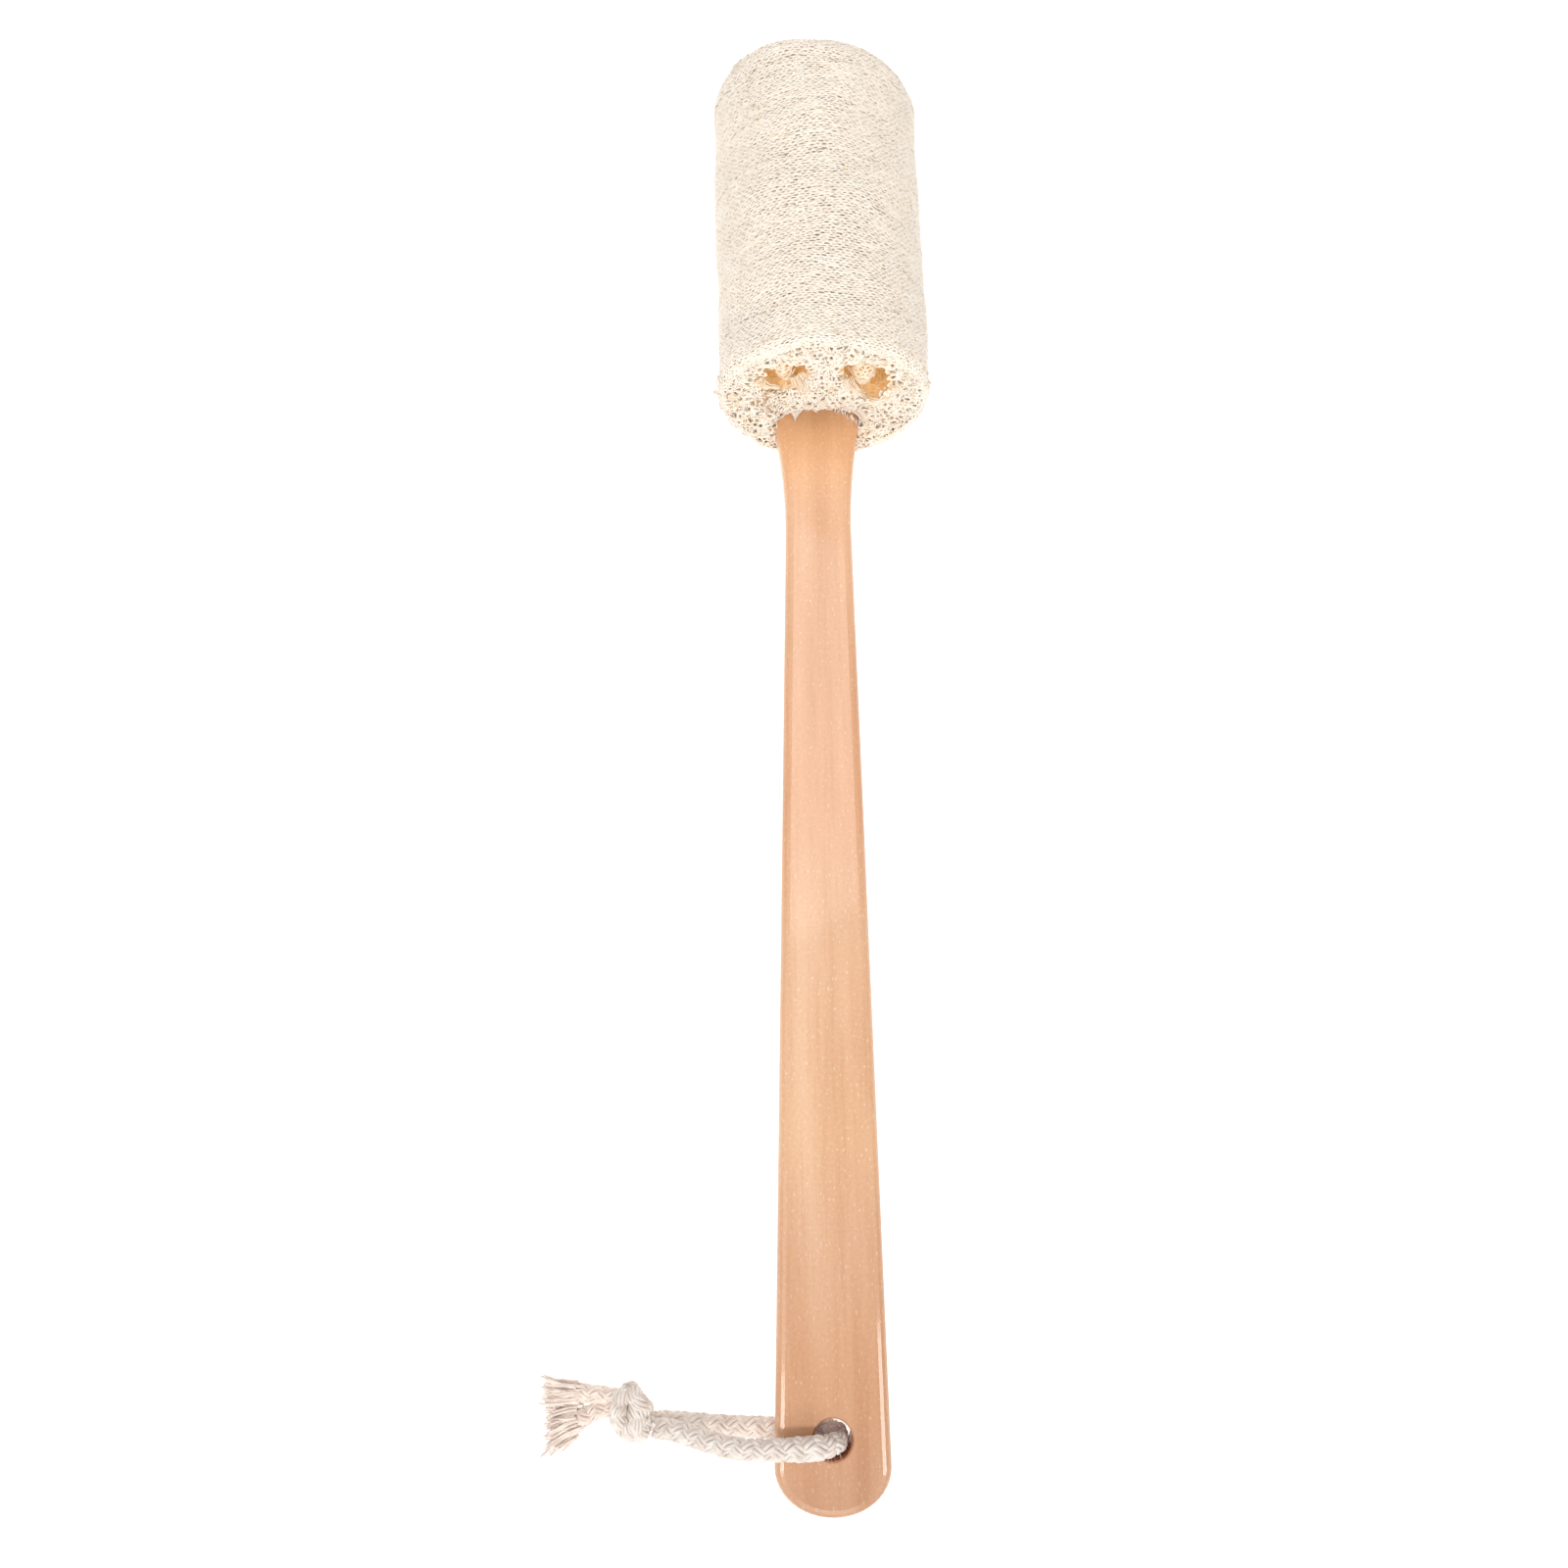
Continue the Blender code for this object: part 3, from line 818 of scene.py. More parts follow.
def make_surface_fibres(material, count=1100):
    """Long wavy fibres that lie on the skin, mostly round the loofah, and dive in at their ends."""
    rng = np.random.default_rng(SEED + 5)
    rings = 13
    t = np.linspace(-0.5, 0.5, rings)[None]
    angle = rng.uniform(0, TAU, (count, 1))
    run = rng.uniform(0, SIDE_LENGTH, (count, 1))
    length = rng.uniform(0.004, 0.009, (count, 1))
    s = t * length
    wave = rng.uniform(0.0020, 0.0036, (count, 1))
    phase = rng.uniform(0, TAU, (count, 1))
    slope = rng.normal(0, 0.22, (count, 1))
    aside = rng.uniform(0.00006, 0.00018, (count, 1)) * np.sin(TAU * s / wave + phase)
    across = s * np.cos(slope) - aside * np.sin(slope)
    ahead = s * np.sin(slope) + aside * np.cos(slope)
    lift = 0.00006 * np.sin(TAU * s / wave * 0.7 + phase) - 0.00065 * np.abs(2 * t) ** 6 - 0.00004
    here = angle + across / NEAR_RADIUS
    there = run + ahead
    points, outward = loofah_point(here, there + skin_flow(here, there), lift)
    half = rng.uniform(0.00030, 0.00044, (count, 1)) / 2 * (1 - 0.35 * np.abs(2 * t) ** 4)
    part = tube_mesh(points, outward, half, half * 0.8, sides=5)
    return add_tubes("loofah_surface_fibres", [part], material, "scrubber")


# ---- the loofah's cut faces

# Outlines on the near face: (x, z) from the loofah's axis, in metres, anticlockwise from the right.
LEFT_CHAMBER = (
    (-0.0038, 0.0150), (-0.0055, 0.0180), (-0.0084, 0.0194), (-0.0130, 0.0186), (-0.0168, 0.0152),
    (-0.0190, 0.0104), (-0.0180, 0.0066), (-0.0134, 0.0050), (-0.0092, 0.0062), (-0.0056, 0.0100),
)
RIGHT_CHAMBER = (
    (0.0198, 0.0094), (0.0182, 0.0136), (0.0150, 0.0174), (0.0100, 0.0192), (0.0064, 0.0186),
    (0.0048, 0.0156), (0.0052, 0.0112), (0.0080, 0.0060), (0.0120, 0.0010), (0.0146, -0.0012),
    (0.0172, 0.0004), (0.0194, 0.0050),
)
SMALL_CHAMBER = (
    (-0.0125, -0.0012), (-0.0135, 0.0025), (-0.0165, 0.0046), (-0.0196, 0.0044), (-0.0213, 0.0012),
    (-0.0206, -0.0030), (-0.0184, -0.0056), (-0.0152, -0.0062), (-0.0132, -0.0046),
)
# The torn mouth of the socket, over the wood and down both its sides.
WOOD_SIDE = 0.0130
WOOD_LEFT, WOOD_RIGHT = -WOOD_SIDE - NEAR_X + 0.0008, WOOD_SIDE - NEAR_X - 0.0008
WOOD_TOP = HANDLE_TOP - AXIS_Z
WOOD_UNDER = HANDLE_UNDER - AXIS_Z
SOCKET = (
    (WOOD_RIGHT, WOOD_UNDER - 0.0006), (WOOD_RIGHT + 0.0002, WOOD_TOP - 0.0060),
    (WOOD_RIGHT + 0.0014, WOOD_TOP - 0.0040), (0.0124, -0.0150), (0.0110, -0.0128),
    (0.0085, -0.0110), (0.0052, -0.0092), (0.0020, -0.0083), (-0.0012, -0.0080),
    (-0.0046, -0.0085), (-0.0080, -0.0090), (-0.0104, -0.0103), (-0.0126, -0.0133),
    (WOOD_LEFT - 0.0003, WOOD_TOP - 0.0024), (WOOD_LEFT, WOOD_UNDER - 0.0006),
)
LOWER_CHAMBER = tuple(
    (0.0090 * math.cos(TAU * k / 14), -0.0185 + 0.0055 * math.sin(TAU * k / 14)) for k in range(14)
)
CHAMBER_DEPTH = 0.034


def rounded_outline(points, count):
    """count points on a smooth closed curve through an outline's points."""
    ring = np.asarray(points, float)
    flat = np.column_stack([ring, np.zeros(len(ring))])
    line = smooth_line(np.concatenate([flat[-2:], flat, flat[:3]]), 24 * (len(ring) + 4))
    start = np.argmin(np.linalg.norm(line[:72] - flat[0], axis=1))
    ending = len(line) - 72 + np.argmin(np.linalg.norm(line[-72:] - flat[0], axis=1))
    return even(line[start : ending + 1], count + 1)[:-1, :2]


def inside(points, outline):
    """Which points lie inside a closed outline."""
    x, z = points[:, 0:1], points[:, 1:2]
    a, b = outline, np.roll(outline, -1, axis=0)
    crosses = (a[:, 1] > z) != (b[:, 1] > z)
    rise = np.where(b[:, 1] == a[:, 1], 1e-12, b[:, 1] - a[:, 1])
    at = a[:, 0] + (z - a[:, 1]) * (b[:, 0] - a[:, 0]) / rise
    return ((x < at) & crosses).sum(axis=1) % 2 == 1


def grown(outline, margin):
    """An outline moved out by margin, or in where it is negative."""
    middle_point = outline.mean(axis=0)
    away = outline - middle_point
    return middle_point + away * (1 + margin / np.linalg.norm(away, axis=1, keepdims=True))


SCOOP_DEPTH, SCOOP_HIGH, SCOOP_HALF = 0.0052, 0.0085, 0.0150


def scoop(u, v):
    """How far the near face is torn in, over the wood."""
    over = np.clip(1 - (v - WOOD_TOP) / SCOOP_HIGH, 0, 1) * (v > WOOD_TOP - 0.001)
    beside = np.clip(1 - (u / SCOOP_HALF) ** 2, 0, 1)
    return SCOOP_DEPTH * over**0.8 * beside**0.8


def rim_drop(u, v, inner, rim):
    """How far a face's rounded rim lies back, where the rim begins at the radius inner."""
    over = np.clip(np.hypot(u, v) - inner, 0, rim)
    return rim - np.sqrt(rim**2 - over**2)


RAGGED = waves(form_rng, 8, 60, 260, 0.0005)


def near_face_point(flat, depth):
    """Points on the near cut face at flat (x, z) from the axis, and depth inside it."""
    u, v = flat[..., 0], flat[..., 1]
    rim = rim_drop(u, v, NEAR_RADIUS - NEAR_RIM - 0.0006, NEAR_RIM)
    y = NEAR_Y + rim + scoop(u, v) + depth + field(RAGGED, u, v)
    z = np.maximum(AXIS_Z + v, FLOOR_GAP + 0.0002)
    return np.stack([NEAR_X + u, np.maximum(y, NEAR_Y) - near_lean(v), z], axis=-1)


def far_face_point(flat, depth):
    u, v = flat[..., 0], flat[..., 1]
    rim = rim_drop(u, v, FAR_RADIUS - FAR_RIM - 0.0004, FAR_RIM)
    y = FAR_Y + far_lean(u) - rim - depth - np.abs(field(RAGGED, u, v)) * 0.6
    z = np.maximum(AXIS_Z + v, FLOOR_GAP + 0.0002)
    return np.stack([FAR_X + u, y, z], axis=-1)


def face_net(rng, place, radius, pitch, holes, depth, thick, size, closed=0.06, flip=False):
    """One layer of a cut face's open net, at a depth behind it."""
    reach = radius / pitch + 2
    points = staggered(rng, (-reach, -reach), (reach, reach), 0.20)
    points = points[np.hypot(*points.T) < reach]

    def put(flat, lift):
        return place(flat * pitch, depth - lift)

    def keep(spots):
        kept = np.hypot(*spots.T) * pitch < radius
        for hole in holes:
            kept &= ~inside(spots * pitch, hole)
        return kept

    return net_sheet(rng, points, put, keep, lambda spots: size, closed, thick, 0.16, flip=flip)


def face_sheet(place, radius, holes, rng):
    """The solid backing behind a cut face: a sheet with the holes cut out."""
    pitch = BACKING_PITCH
    turns = [TAU * k / 120 for k in range(120)]
    ring = np.array([(radius * math.cos(turn), radius * math.sin(turn)) for turn in turns])
    steps = np.arange(-radius, radius, pitch)
    grid = np.array([(x, z) for x in steps for z in steps])
    grid = grid + rng.uniform(-0.3, 0.3, grid.shape) * pitch
    keep = np.hypot(*grid.T) < radius - pitch * 0.6
    for hole in holes:
        keep &= ~inside(grid, grown(hole, pitch * 0.5))
    loops = [ring, *holes]
    points = np.concatenate([*loops, grid[keep]])
    edges, start = [], 0
    for loop in loops:
        count = len(loop)
        edges += [(start + k, start + (k + 1) % count) for k in range(count)]
        start += count
    made = delaunay_2d_cdt([Vector(p) for p in points], edges, [], 0, 1e-7)
    corners = np.array([tuple(v) for v in made[0]])
    faces = np.array([list(face) for face in made[2] if len(face) == 3])
    centres = corners[faces].mean(axis=1)
    keep = np.hypot(*centres.T) < radius
    for hole in holes:
        keep &= ~inside(centres, hole)
    depths = FACE_BACKING + rng.uniform(-0.0003, 0.0003, len(corners))
    return place(corners, depths), faces[keep]


def tunnel(place, outline, depths, shrink, rng, bumps=0.00025):
    """A wall that runs in from an outline: its rings lie at the depths, the last one closed."""
    rings, count = [], len(outline)
    middle_point = outline.mean(axis=0)
    for depth, share in zip(depths, shrink):
        ring = middle_point + (outline - middle_point) * share
        ring = ring + rng.normal(0, bumps, ring.shape)
        rings.append(place(ring, np.full(count, depth)))
    tip = np.array([rings[-1].mean(axis=0)])
    points = np.concatenate([*rings, tip])
    faces = []
    for k in range(len(rings) - 1):
        for i in range(count):
            j = (i + 1) % count
            a, b, c, d = k * count + i, k * count + j, (k + 1) * count + j, (k + 1) * count + i
            faces += [(a, b, c), (a, c, d)]
    last = (len(rings) - 1) * count
    faces += [(last + i, last + (i + 1) % count, len(points) - 1) for i in range(count)]
    return points, np.array(faces)


def side_sheet(radius_near, radius_far, rng):
    """The solid backing under the skin."""
    around, along = 300, 150
    angle = TAU * np.arange(around) / around
    run = np.linspace(NEAR_TURN * 0.6, SIDE_LENGTH - FAR_TURN * 0.35, along)
    lift = -SKIN_BACKING + rng.uniform(-0.0003, 0.0003, (along, around))
    points, _ = loofah_point(angle[None], run[:, None], lift)
    circle = np.stack([np.cos(angle), np.sin(angle)], axis=-1)
    first = near_face_point(radius_near * circle, FACE_BACKING)
    last = far_face_point(radius_far * circle, FACE_BACKING)
    rows = np.concatenate([first[None], points, last[None]])
    k = np.arange(len(rows) - 1)[:, None] * around
    i = np.arange(around)[None]
    j = (i + 1) % around
    quads = np.stack([k + i, k + around + i, k + around + j, k + j], axis=-1).reshape(-1, 4)
    return rows.reshape(-1, 3), halves(quads)


def round_outline(x, z, radius, count=14):
    turn = TAU * np.arange(count) / count
    return np.stack([x + radius * np.cos(turn), z + radius * np.sin(turn)], axis=-1)


# Small round cells that stand open in the near face: x, z and radius, from the axis.
SMALL_CELLS = (
    (0.0021, 0.0073, 0.0010), (0.0142, -0.0045, 0.0011), (0.0134, -0.0095, 0.0008),
    (0.0138, -0.0132, 0.0009), (0.0162, 0.0202, 0.0009), (-0.0243, -0.0008, 0.0009),
)
NEAR_HOLES = [rounded_outline(o, 60) for o in (LEFT_CHAMBER, RIGHT_CHAMBER, SMALL_CHAMBER)]
CELL_HOLES = [round_outline(*cell) for cell in SMALL_CELLS]
SOCKET_HOLE = np.array(SOCKET)
FAR_HOLES = [
    rounded_outline(np.array(o) * (1.0, 0.9) + (0, -0.001), 60) for o in (LEFT_CHAMBER, RIGHT_CHAMBER)
] + [rounded_outline(LOWER_CHAMBER, 60)]
FACE_BACKING, SKIN_BACKING = 0.0024, 0.0014  # how far behind the nets the solid backing lies
BACKING_PITCH = 0.0009


def make_core(material):
    """Everything behind the nets: side wall, both faces' backing."""
    rng = np.random.default_rng(SEED + 2)
    radius_near, radius_far = NEAR_RADIUS - 0.0022, FAR_RADIUS - 0.0050
    holes = [*NEAR_HOLES, *CELL_HOLES, SOCKET_HOLE]
    parts = [
        side_sheet(radius_near, radius_far, rng),
        face_sheet(near_face_point, radius_near, holes, rng),
        face_sheet(far_face_point, radius_far, FAR_HOLES, rng),
    ]
    points, faces = joined(parts)
    piece = add_mesh("loofah_core", points, faces, material, "scrubber")
    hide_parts("loofah")
    return piece


def make_chambers(material):
    rng = np.random.default_rng(SEED + 3)
    depths = [0.0004, 0.0014, 0.0026, 0.0040, 0.0060, 0.009, 0.013, 0.018, 0.024, 0.030, CHAMBER_DEPTH]
    shrink = [1.04, 1.0, 1.01, 1.02, 1.03, 1.02, 1.0, 0.96, 0.9, 0.78, 0.5]
    parts = [tunnel(near_face_point, hole, depths, shrink, rng) for hole in NEAR_HOLES[:2]]
    small = [0.0008, 0.0018, 0.0030, 0.0045]
    parts.append(tunnel(near_face_point, NEAR_HOLES[2], small, [1.0, 0.99, 0.97, 0.8], rng))
    shallow = [0.0002, 0.0012, 0.0024, 0.0036]
    shares = [1.1, 1.0, 0.9, 0.7]
    parts += [tunnel(near_face_point, hole, shallow, shares, rng, 0.0001) for hole in CELL_HOLES]
    parts += [tunnel(far_face_point, hole, depths, shrink, rng) for hole in FAR_HOLES]
    points, faces = joined(parts)
    piece = add_mesh("loofah_seed_chambers", points, faces, material, "scrubber")
    return piece


# Each layer of a cut face's net: cell pitch, depth behind the face, thickness, hole size.
NET_LAYERS = (
    (0.0021, 0.0000, 0.00070, 0.70),
    (0.0021, 0.0014, 0.00060, 0.66),
)


def make_nets(material):
    rng = np.random.default_rng(SEED + 4)
    near_holes = [*NEAR_HOLES, *CELL_HOLES, grown(SOCKET_HOLE, -0.0010)]
    pieces = []
    for name, place, radius, holes, flip in (
        ("near", near_face_point, NEAR_RADIUS - 0.0006, near_holes, False),
        ("far", far_face_point, FAR_RADIUS - 0.0020, FAR_HOLES, True),
    ):
        layers = [
            face_net(rng, place, radius - depth * 0.4, pitch, holes, depth, thick, size, flip=flip)
            for pitch, depth, thick, size in NET_LAYERS
        ]
        points, faces = joined(layers)
        pieces.append(add_mesh(f"loofah_{name}_face_net", points, faces, material, "scrubber"))
    return pieces


def fibre_material(name, pit_shade_colour):
    """Pale fibre; down in a net's pits the colour goes over to pit_shade_colour, as painted shade."""
    made, tree, _ = new_material(name, 0.62)
    place = object_place(tree)
    tone = noise(tree, place, 160.0, 3.0)
    colour = ramp(
        tree, tone, [(0.25, (0.95, 0.85, 0.73)), (0.5, (0.965, 0.875, 0.765)), (0.75, (0.98, 0.905, 0.805))]
    )
    spots = noise(tree, place, 170.0, 1.0)
    mask = ramp(tree, spots, [(0.70, (0, 0, 0)), (0.78, (0.6, 0.6, 0.6))])
    colour = mixed(tree, mask, colour, (0.92, 0.78, 0.55))
    # painted shade: the pits take their own colour, weighed by the mesh attribute PIT
    pit = node(tree, "ShaderNodeAttribute", attribute_name=PIT)
    colour = mixed(tree, pit.outputs["Fac"], colour, pit_shade_colour)
    return finished(made, colour, noise(tree, place, 3000.0, 2.0), 0.35, 0.0001)


def membrane_material():
    made, tree, _ = new_material("loofah_membrane", 0.5)
    place = object_place(tree)
    tone = noise(tree, place, 260.0, 3.0)
    colour = ramp(
        tree, tone, [(0.3, (0.84, 0.64, 0.42)), (0.5, (0.92, 0.77, 0.58)), (0.7, (0.96, 0.86, 0.72))]
    )
    return finished(made, colour, noise(tree, place, 2200.0, 2.0), 0.4, 0.0001)


def core_material():
    """Tan behind the near cut face, and elsewhere a dark brown painted shade, where less light comes in."""
    made, tree, _ = new_material("loofah_inside", 0.8)
    place = object_place(tree)
    tone = noise(tree, place, 220.0, 3.0)
    tan = ramp(tree, tone, [(0.3, (0.88, 0.62, 0.33)), (0.7, (0.96, 0.80, 0.54))])
    # painted shade: the backing under the skin and behind the far face is darker
    painted_shade = ramp(tree, tone, [(0.3, (0.30, 0.22, 0.14)), (0.7, (0.52, 0.40, 0.27))])
    deep = node(tree, "ShaderNodeSeparateXYZ", [("Vector", place)]).outputs["Y"]
    behind = share_between(tree, deep, NEAR_Y + 0.0035, NEAR_Y + 0.0060)
    return finished(made, mixed(tree, behind, tan, painted_shade), noise(tree, place, 900.0, 2.0), 0.6, 0.0004)


def chamber_material():
    """Pale at the near face, then amber with a net of paler veins, and a faint orange painted glow."""
    made, tree, shader = new_material("chamber_wall", 0.45)
    place = object_place(tree)
    deep = node(tree, "ShaderNodeSeparateXYZ", [("Vector", place)]).outputs["Y"]
    inner = share_between(tree, deep, NEAR_Y + 0.0006, NEAR_Y + 0.0020)
    veins = node(tree, "ShaderNodeTexVoronoi", [("Vector", place)], feature="DISTANCE_TO_EDGE", Scale=520.0)
    line = ramp(tree, veins.outputs["Distance"], [(0.03, (1, 1, 1)), (0.16, (0, 0, 0))])
    tone = noise(tree, place, 150.0, 2.0)
    amber = ramp(tree, tone, [(0.3, (0.97, 0.62, 0.30)), (0.7, (1.0, 0.76, 0.44))])
    amber = mixed(tree, line, amber, (1.0, 0.86, 0.60))
    colour = mixed(tree, inner, (0.94, 0.84, 0.66), amber)
    # A faint orange painted glow stands in for the light that comes through the walls of the real chambers.
    set_values(shader, Emission_Color=(1.0, 0.55, 0.13, 1.0), Emission_Strength=0.09)
    return finished(made, colour, line, 0.5, 0.0003)


# Membranes of net that bow out of the near face's chambers: middle, half-sizes, lean, how far the
# rim lies behind the middle, depth of the middle, and hole size.
MEMBRANES = (
    ((-0.0113, 0.0132), (0.0029, 0.0066), 0.22, 0.0022, 0.0006, 0.62),
    ((0.0114, 0.0112), (0.0038, 0.0078), -0.08, 0.0026, 0.0005, 0.58),
    ((-0.0170, -0.0006), (0.0048, 0.0056), 0.0, -0.0016, 0.0020, 0.66),
)
# Smooth striped bands of membrane in the near face, each between two edges of (x, z) points.
BANDS = (
    (
        ((-0.0208, 0.0103), (-0.0176, 0.0106), (-0.0142, 0.0080), (-0.0120, 0.0062)),
        ((-0.0208, 0.0094), (-0.0186, 0.0074), (-0.0152, 0.0052), (-0.0122, 0.0046)), 7,
    ),
    (
        ((-0.0094, 0.0110), (-0.0088, 0.0082), (-0.0080, 0.0052), (-0.0066, 0.0018)),
        ((-0.0058, 0.0126), (-0.0032, 0.0102), (-0.0027, 0.0060), (-0.0032, 0.0028)), 11,
    ),
    (
        ((0.0126, -0.0002), (0.0168, 0.0010), (0.0194, 0.0036), (0.0204, 0.0064), (0.0200, 0.0088)),
        ((0.0130, -0.0024), (0.0178, -0.0011), (0.0216, 0.0024), (0.0223, 0.0056), (0.0210, 0.0084)), 6,
    ),
    (
        ((0.0052, 0.0112), (0.0062, 0.0070), (0.0088, 0.0026), (0.0122, -0.0002)),
        ((0.0080, 0.0108), (0.0094, 0.0074), (0.0112, 0.0046), (0.0128, 0.0026)), 8,
    ),
)


MEMBRANE_PITCH, MEMBRANE_THICK = 0.0016, 0.0004


def make_membranes(material):
    rng = np.random.default_rng(SEED + 9)
    pitch, parts = MEMBRANE_PITCH, []
    for middle_point, radii, lean, bow, depth, size in MEMBRANES:
        reach = max(radii) / pitch + 2
        points = staggered(rng, (-reach, -reach), (reach, reach), 0.17)

        def far_out(flat):
            return (flat[..., 0] * pitch / radii[0]) ** 2 + (flat[..., 1] * pitch / radii[1]) ** 2

        def put(flat, lift):
            u, v = flat[..., 0] * pitch, flat[..., 1] * pitch
            across = u * math.cos(lean) - v * math.sin(lean) + middle_point[0]
            up = u * math.sin(lean) + v * math.cos(lean) + middle_point[1]
            y = NEAR_Y + depth + bow * far_out(flat) - lift
            return np.stack([NEAR_X + across, y, AXIS_Z + up], axis=-1)

        def keep(spots):
            return far_out(spots) < 1

        parts.append(net_sheet(rng, points, put, keep, lambda spots: size, 0.04, MEMBRANE_THICK, 0.14))
    points, faces = joined(parts)
    return add_mesh("loofah_membranes", points, faces, material, "scrubber")


def make_bands(material):
    rng = np.random.default_rng(SEED + 10)
    rings, parts = 18, []
    for one, two, count in BANDS:
        edges = [smooth_line(np.column_stack([e, np.zeros(len(e))]), rings)[:, :2] for e in (one, two)]
        share = np.linspace(0, 1, count)[:, None, None]
        flat = edges[0] * (1 - share) + edges[1] * share
        flat = flat + rng.normal(0, 0.00005, (count, rings, 2))
        apart = np.linalg.norm(edges[1] - edges[0], axis=-1) / count
        t = np.linspace(-1, 1, rings)
        depth = 0.0003 + 0.0006 * (2 * share[..., 0] - 1) ** 2 + 0.0008 * t**4
        depth = depth + rng.uniform(0, 0.0004, (count, 1))
        lines = near_face_point(flat, depth) - (0, 0.0003, 0)
        wide = apart * 0.55 * (1 - 0.3 * t**4)
        parts.append(tube_mesh(lines, (0, -1, 0.05), wide[None], 0.00022, sides=6))
    for x, z, radius in SMALL_CELLS:
        ring = round_outline(x, z, radius * 1.22, 15)
        ring = np.concatenate([ring, ring[:2]])
        lines = near_face_point(ring, np.full(len(ring), -0.0001))[None]
        parts.append(tube_mesh(lines, (0, -1, 0.05), 0.00026, 0.00026, sides=6))
    return add_tubes("loofah_bands", parts, material, "scrubber")


def make_curls(material, count=1900):
    """Short bent strands that stand out of the near face's net."""
    rng = np.random.default_rng(SEED + 11)
    rings = 8
    reach = NEAR_RADIUS - 0.0016
    middles = rng.uniform(-reach, reach, (count, 2))
    keep = np.hypot(*middles.T) < reach
    clear = ((NEAR_HOLES[0], 0.0014), (NEAR_HOLES[1], 0.0014), (SOCKET_HOLE, -0.0002))
    for outline, margin in clear:
        keep &= ~inside(middles, grown(outline, margin))
    middles = middles[keep]
    count = len(middles)
    length = rng.uniform(0.0016, 0.0046, (count, 1))
    bend = rng.normal(0, 2.2, (count, 1))
    t = np.linspace(-0.5, 0.5, rings)[None]
    heading = rng.uniform(0, TAU, (count, 1)) + bend * t
    step = np.stack([np.cos(heading), np.sin(heading)], axis=-1) * (length / rings)[..., None]
    flat = middles[:, None] + np.cumsum(step, axis=1) - step.sum(axis=1, keepdims=True) / 2
    stand = rng.uniform(-0.0001, 0.00045, (count, 1)) * np.cos(math.pi * t) - 0.0004 * (2 * t) ** 4
    lines = near_face_point(flat, np.zeros((count, rings)))
    lines[..., 1] -= stand
    half = rng.uniform(0.00018, 0.00027, (count, 1)) * (1 - 0.3 * (2 * t) ** 2)
    part = tube_mesh(lines, (0, -1, 0.05), half, half * 0.9, sides=5)
    return add_tubes("loofah_face_curls", [part], material, "scrubber")


# The torn edge of the socket on top of the wood, as (x, y) in the frame.
ARCH = (
    (-0.0122, 0.1034), (-0.0112, 0.1050), (-0.0097, 0.1061), (-0.0055, 0.1069), (-0.0019, 0.1075),
    (0.0008, 0.1079), (0.0040, 0.1072), (0.0072, 0.1060), (0.0099, 0.1042), (0.0119, 0.1027),
)
# The tuft's tip, and where it hangs from: its middle and half its width, and how far along Y.
TUFT_TIP = (-0.0066, 0.1031)
TUFT_MIDDLE, TUFT_REACH, TUFT_ROOT = -0.0064, 0.0027, 0.1072


def make_torn_edge(material, count=56):
    """Strands that hang over the wood from the torn mouth of the socket, and one longer tuft."""
    rng = np.random.default_rng(SEED + 12)
    rings = 7
    t = np.linspace(0, 1, rings)[None]
    edge = smooth_line(np.column_stack([ARCH, np.zeros(len(ARCH))]), 200)
    root = edge[rng.integers(0, 200, count)]
    slant = rng.normal(0, 0.0009, (count, 1))
    length = rng.uniform(0.0001, 0.0008, (count, 1))
    x = root[:, :1] + slant * t
    y = root[:, 1:2] + 0.0009 - (length + 0.0009) * t
    high = rng.uniform(0.0003, 0.0014, (count, 1))
    z = HANDLE_TOP + 0.00022 + high * (1 - t) ** 1.5
    half = rng.uniform(0.00014, 0.00022, (count, 1)) * (1 - 0.5 * t**2)
    parts = [tube_mesh(np.stack([x, y, z], axis=-1), (0, 0, 1), half, half, sides=5)]
    strands = 20
    root = np.linspace(-1, 1, strands)[:, None] + rng.normal(0, 0.05, (strands, 1))
    far = np.abs(root) ** 0.8
    x = TUFT_MIDDLE + TUFT_REACH * root * (1 - t) + (TUFT_TIP[0] - TUFT_MIDDLE + 0.0009 * root) * t
    x = x + rng.normal(0, 0.0002, (strands, 1)) * np.sin(math.pi * t)
    y = TUFT_ROOT - (TUFT_ROOT - TUFT_TIP[1] - 0.0026 * far) * t
    z = HANDLE_TOP + 0.0004 + 0.0016 * (1 - t) + rng.uniform(0, 0.0004, (strands, 1))
    half = 0.00027 * (1 - 0.55 * t**3) * np.ones((strands, 1))
    parts.append(tube_mesh(np.stack([x, y, z], axis=-1), (0, 0, 1), half, half * 0.8, sides=6))
    return add_tubes("loofah_torn_edge", parts, material, "scrubber")


# the skin's pits are painted dark brown: painted shade
FIBRE = fibre_material("loofah_fibre", (0.44, 0.29, 0.17))
# the face net's pits are painted tan: partly the colour of the fibre beneath, partly painted shade
FACE_FIBRE = fibre_material("loofah_face_fibre", (0.86, 0.60, 0.30))
MEMBRANE = membrane_material()
make_core(core_material())
make_chambers(chamber_material())
for net_piece in [
    *make_nets(FACE_FIBRE),
    *make_skin(FIBRE),
    make_surface_fibres(FIBRE),
    make_membranes(MEMBRANE),
    make_bands(MEMBRANE),
    make_curls(FIBRE),
    make_torn_edge(FIBRE),
]:
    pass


# ---- the wood

WOOD_COLOURS = (
    (0.34, (0.758, 0.422, 0.239)), (0.50, (0.820, 0.479, 0.286)), (0.66, (0.866, 0.530, 0.328)),
)
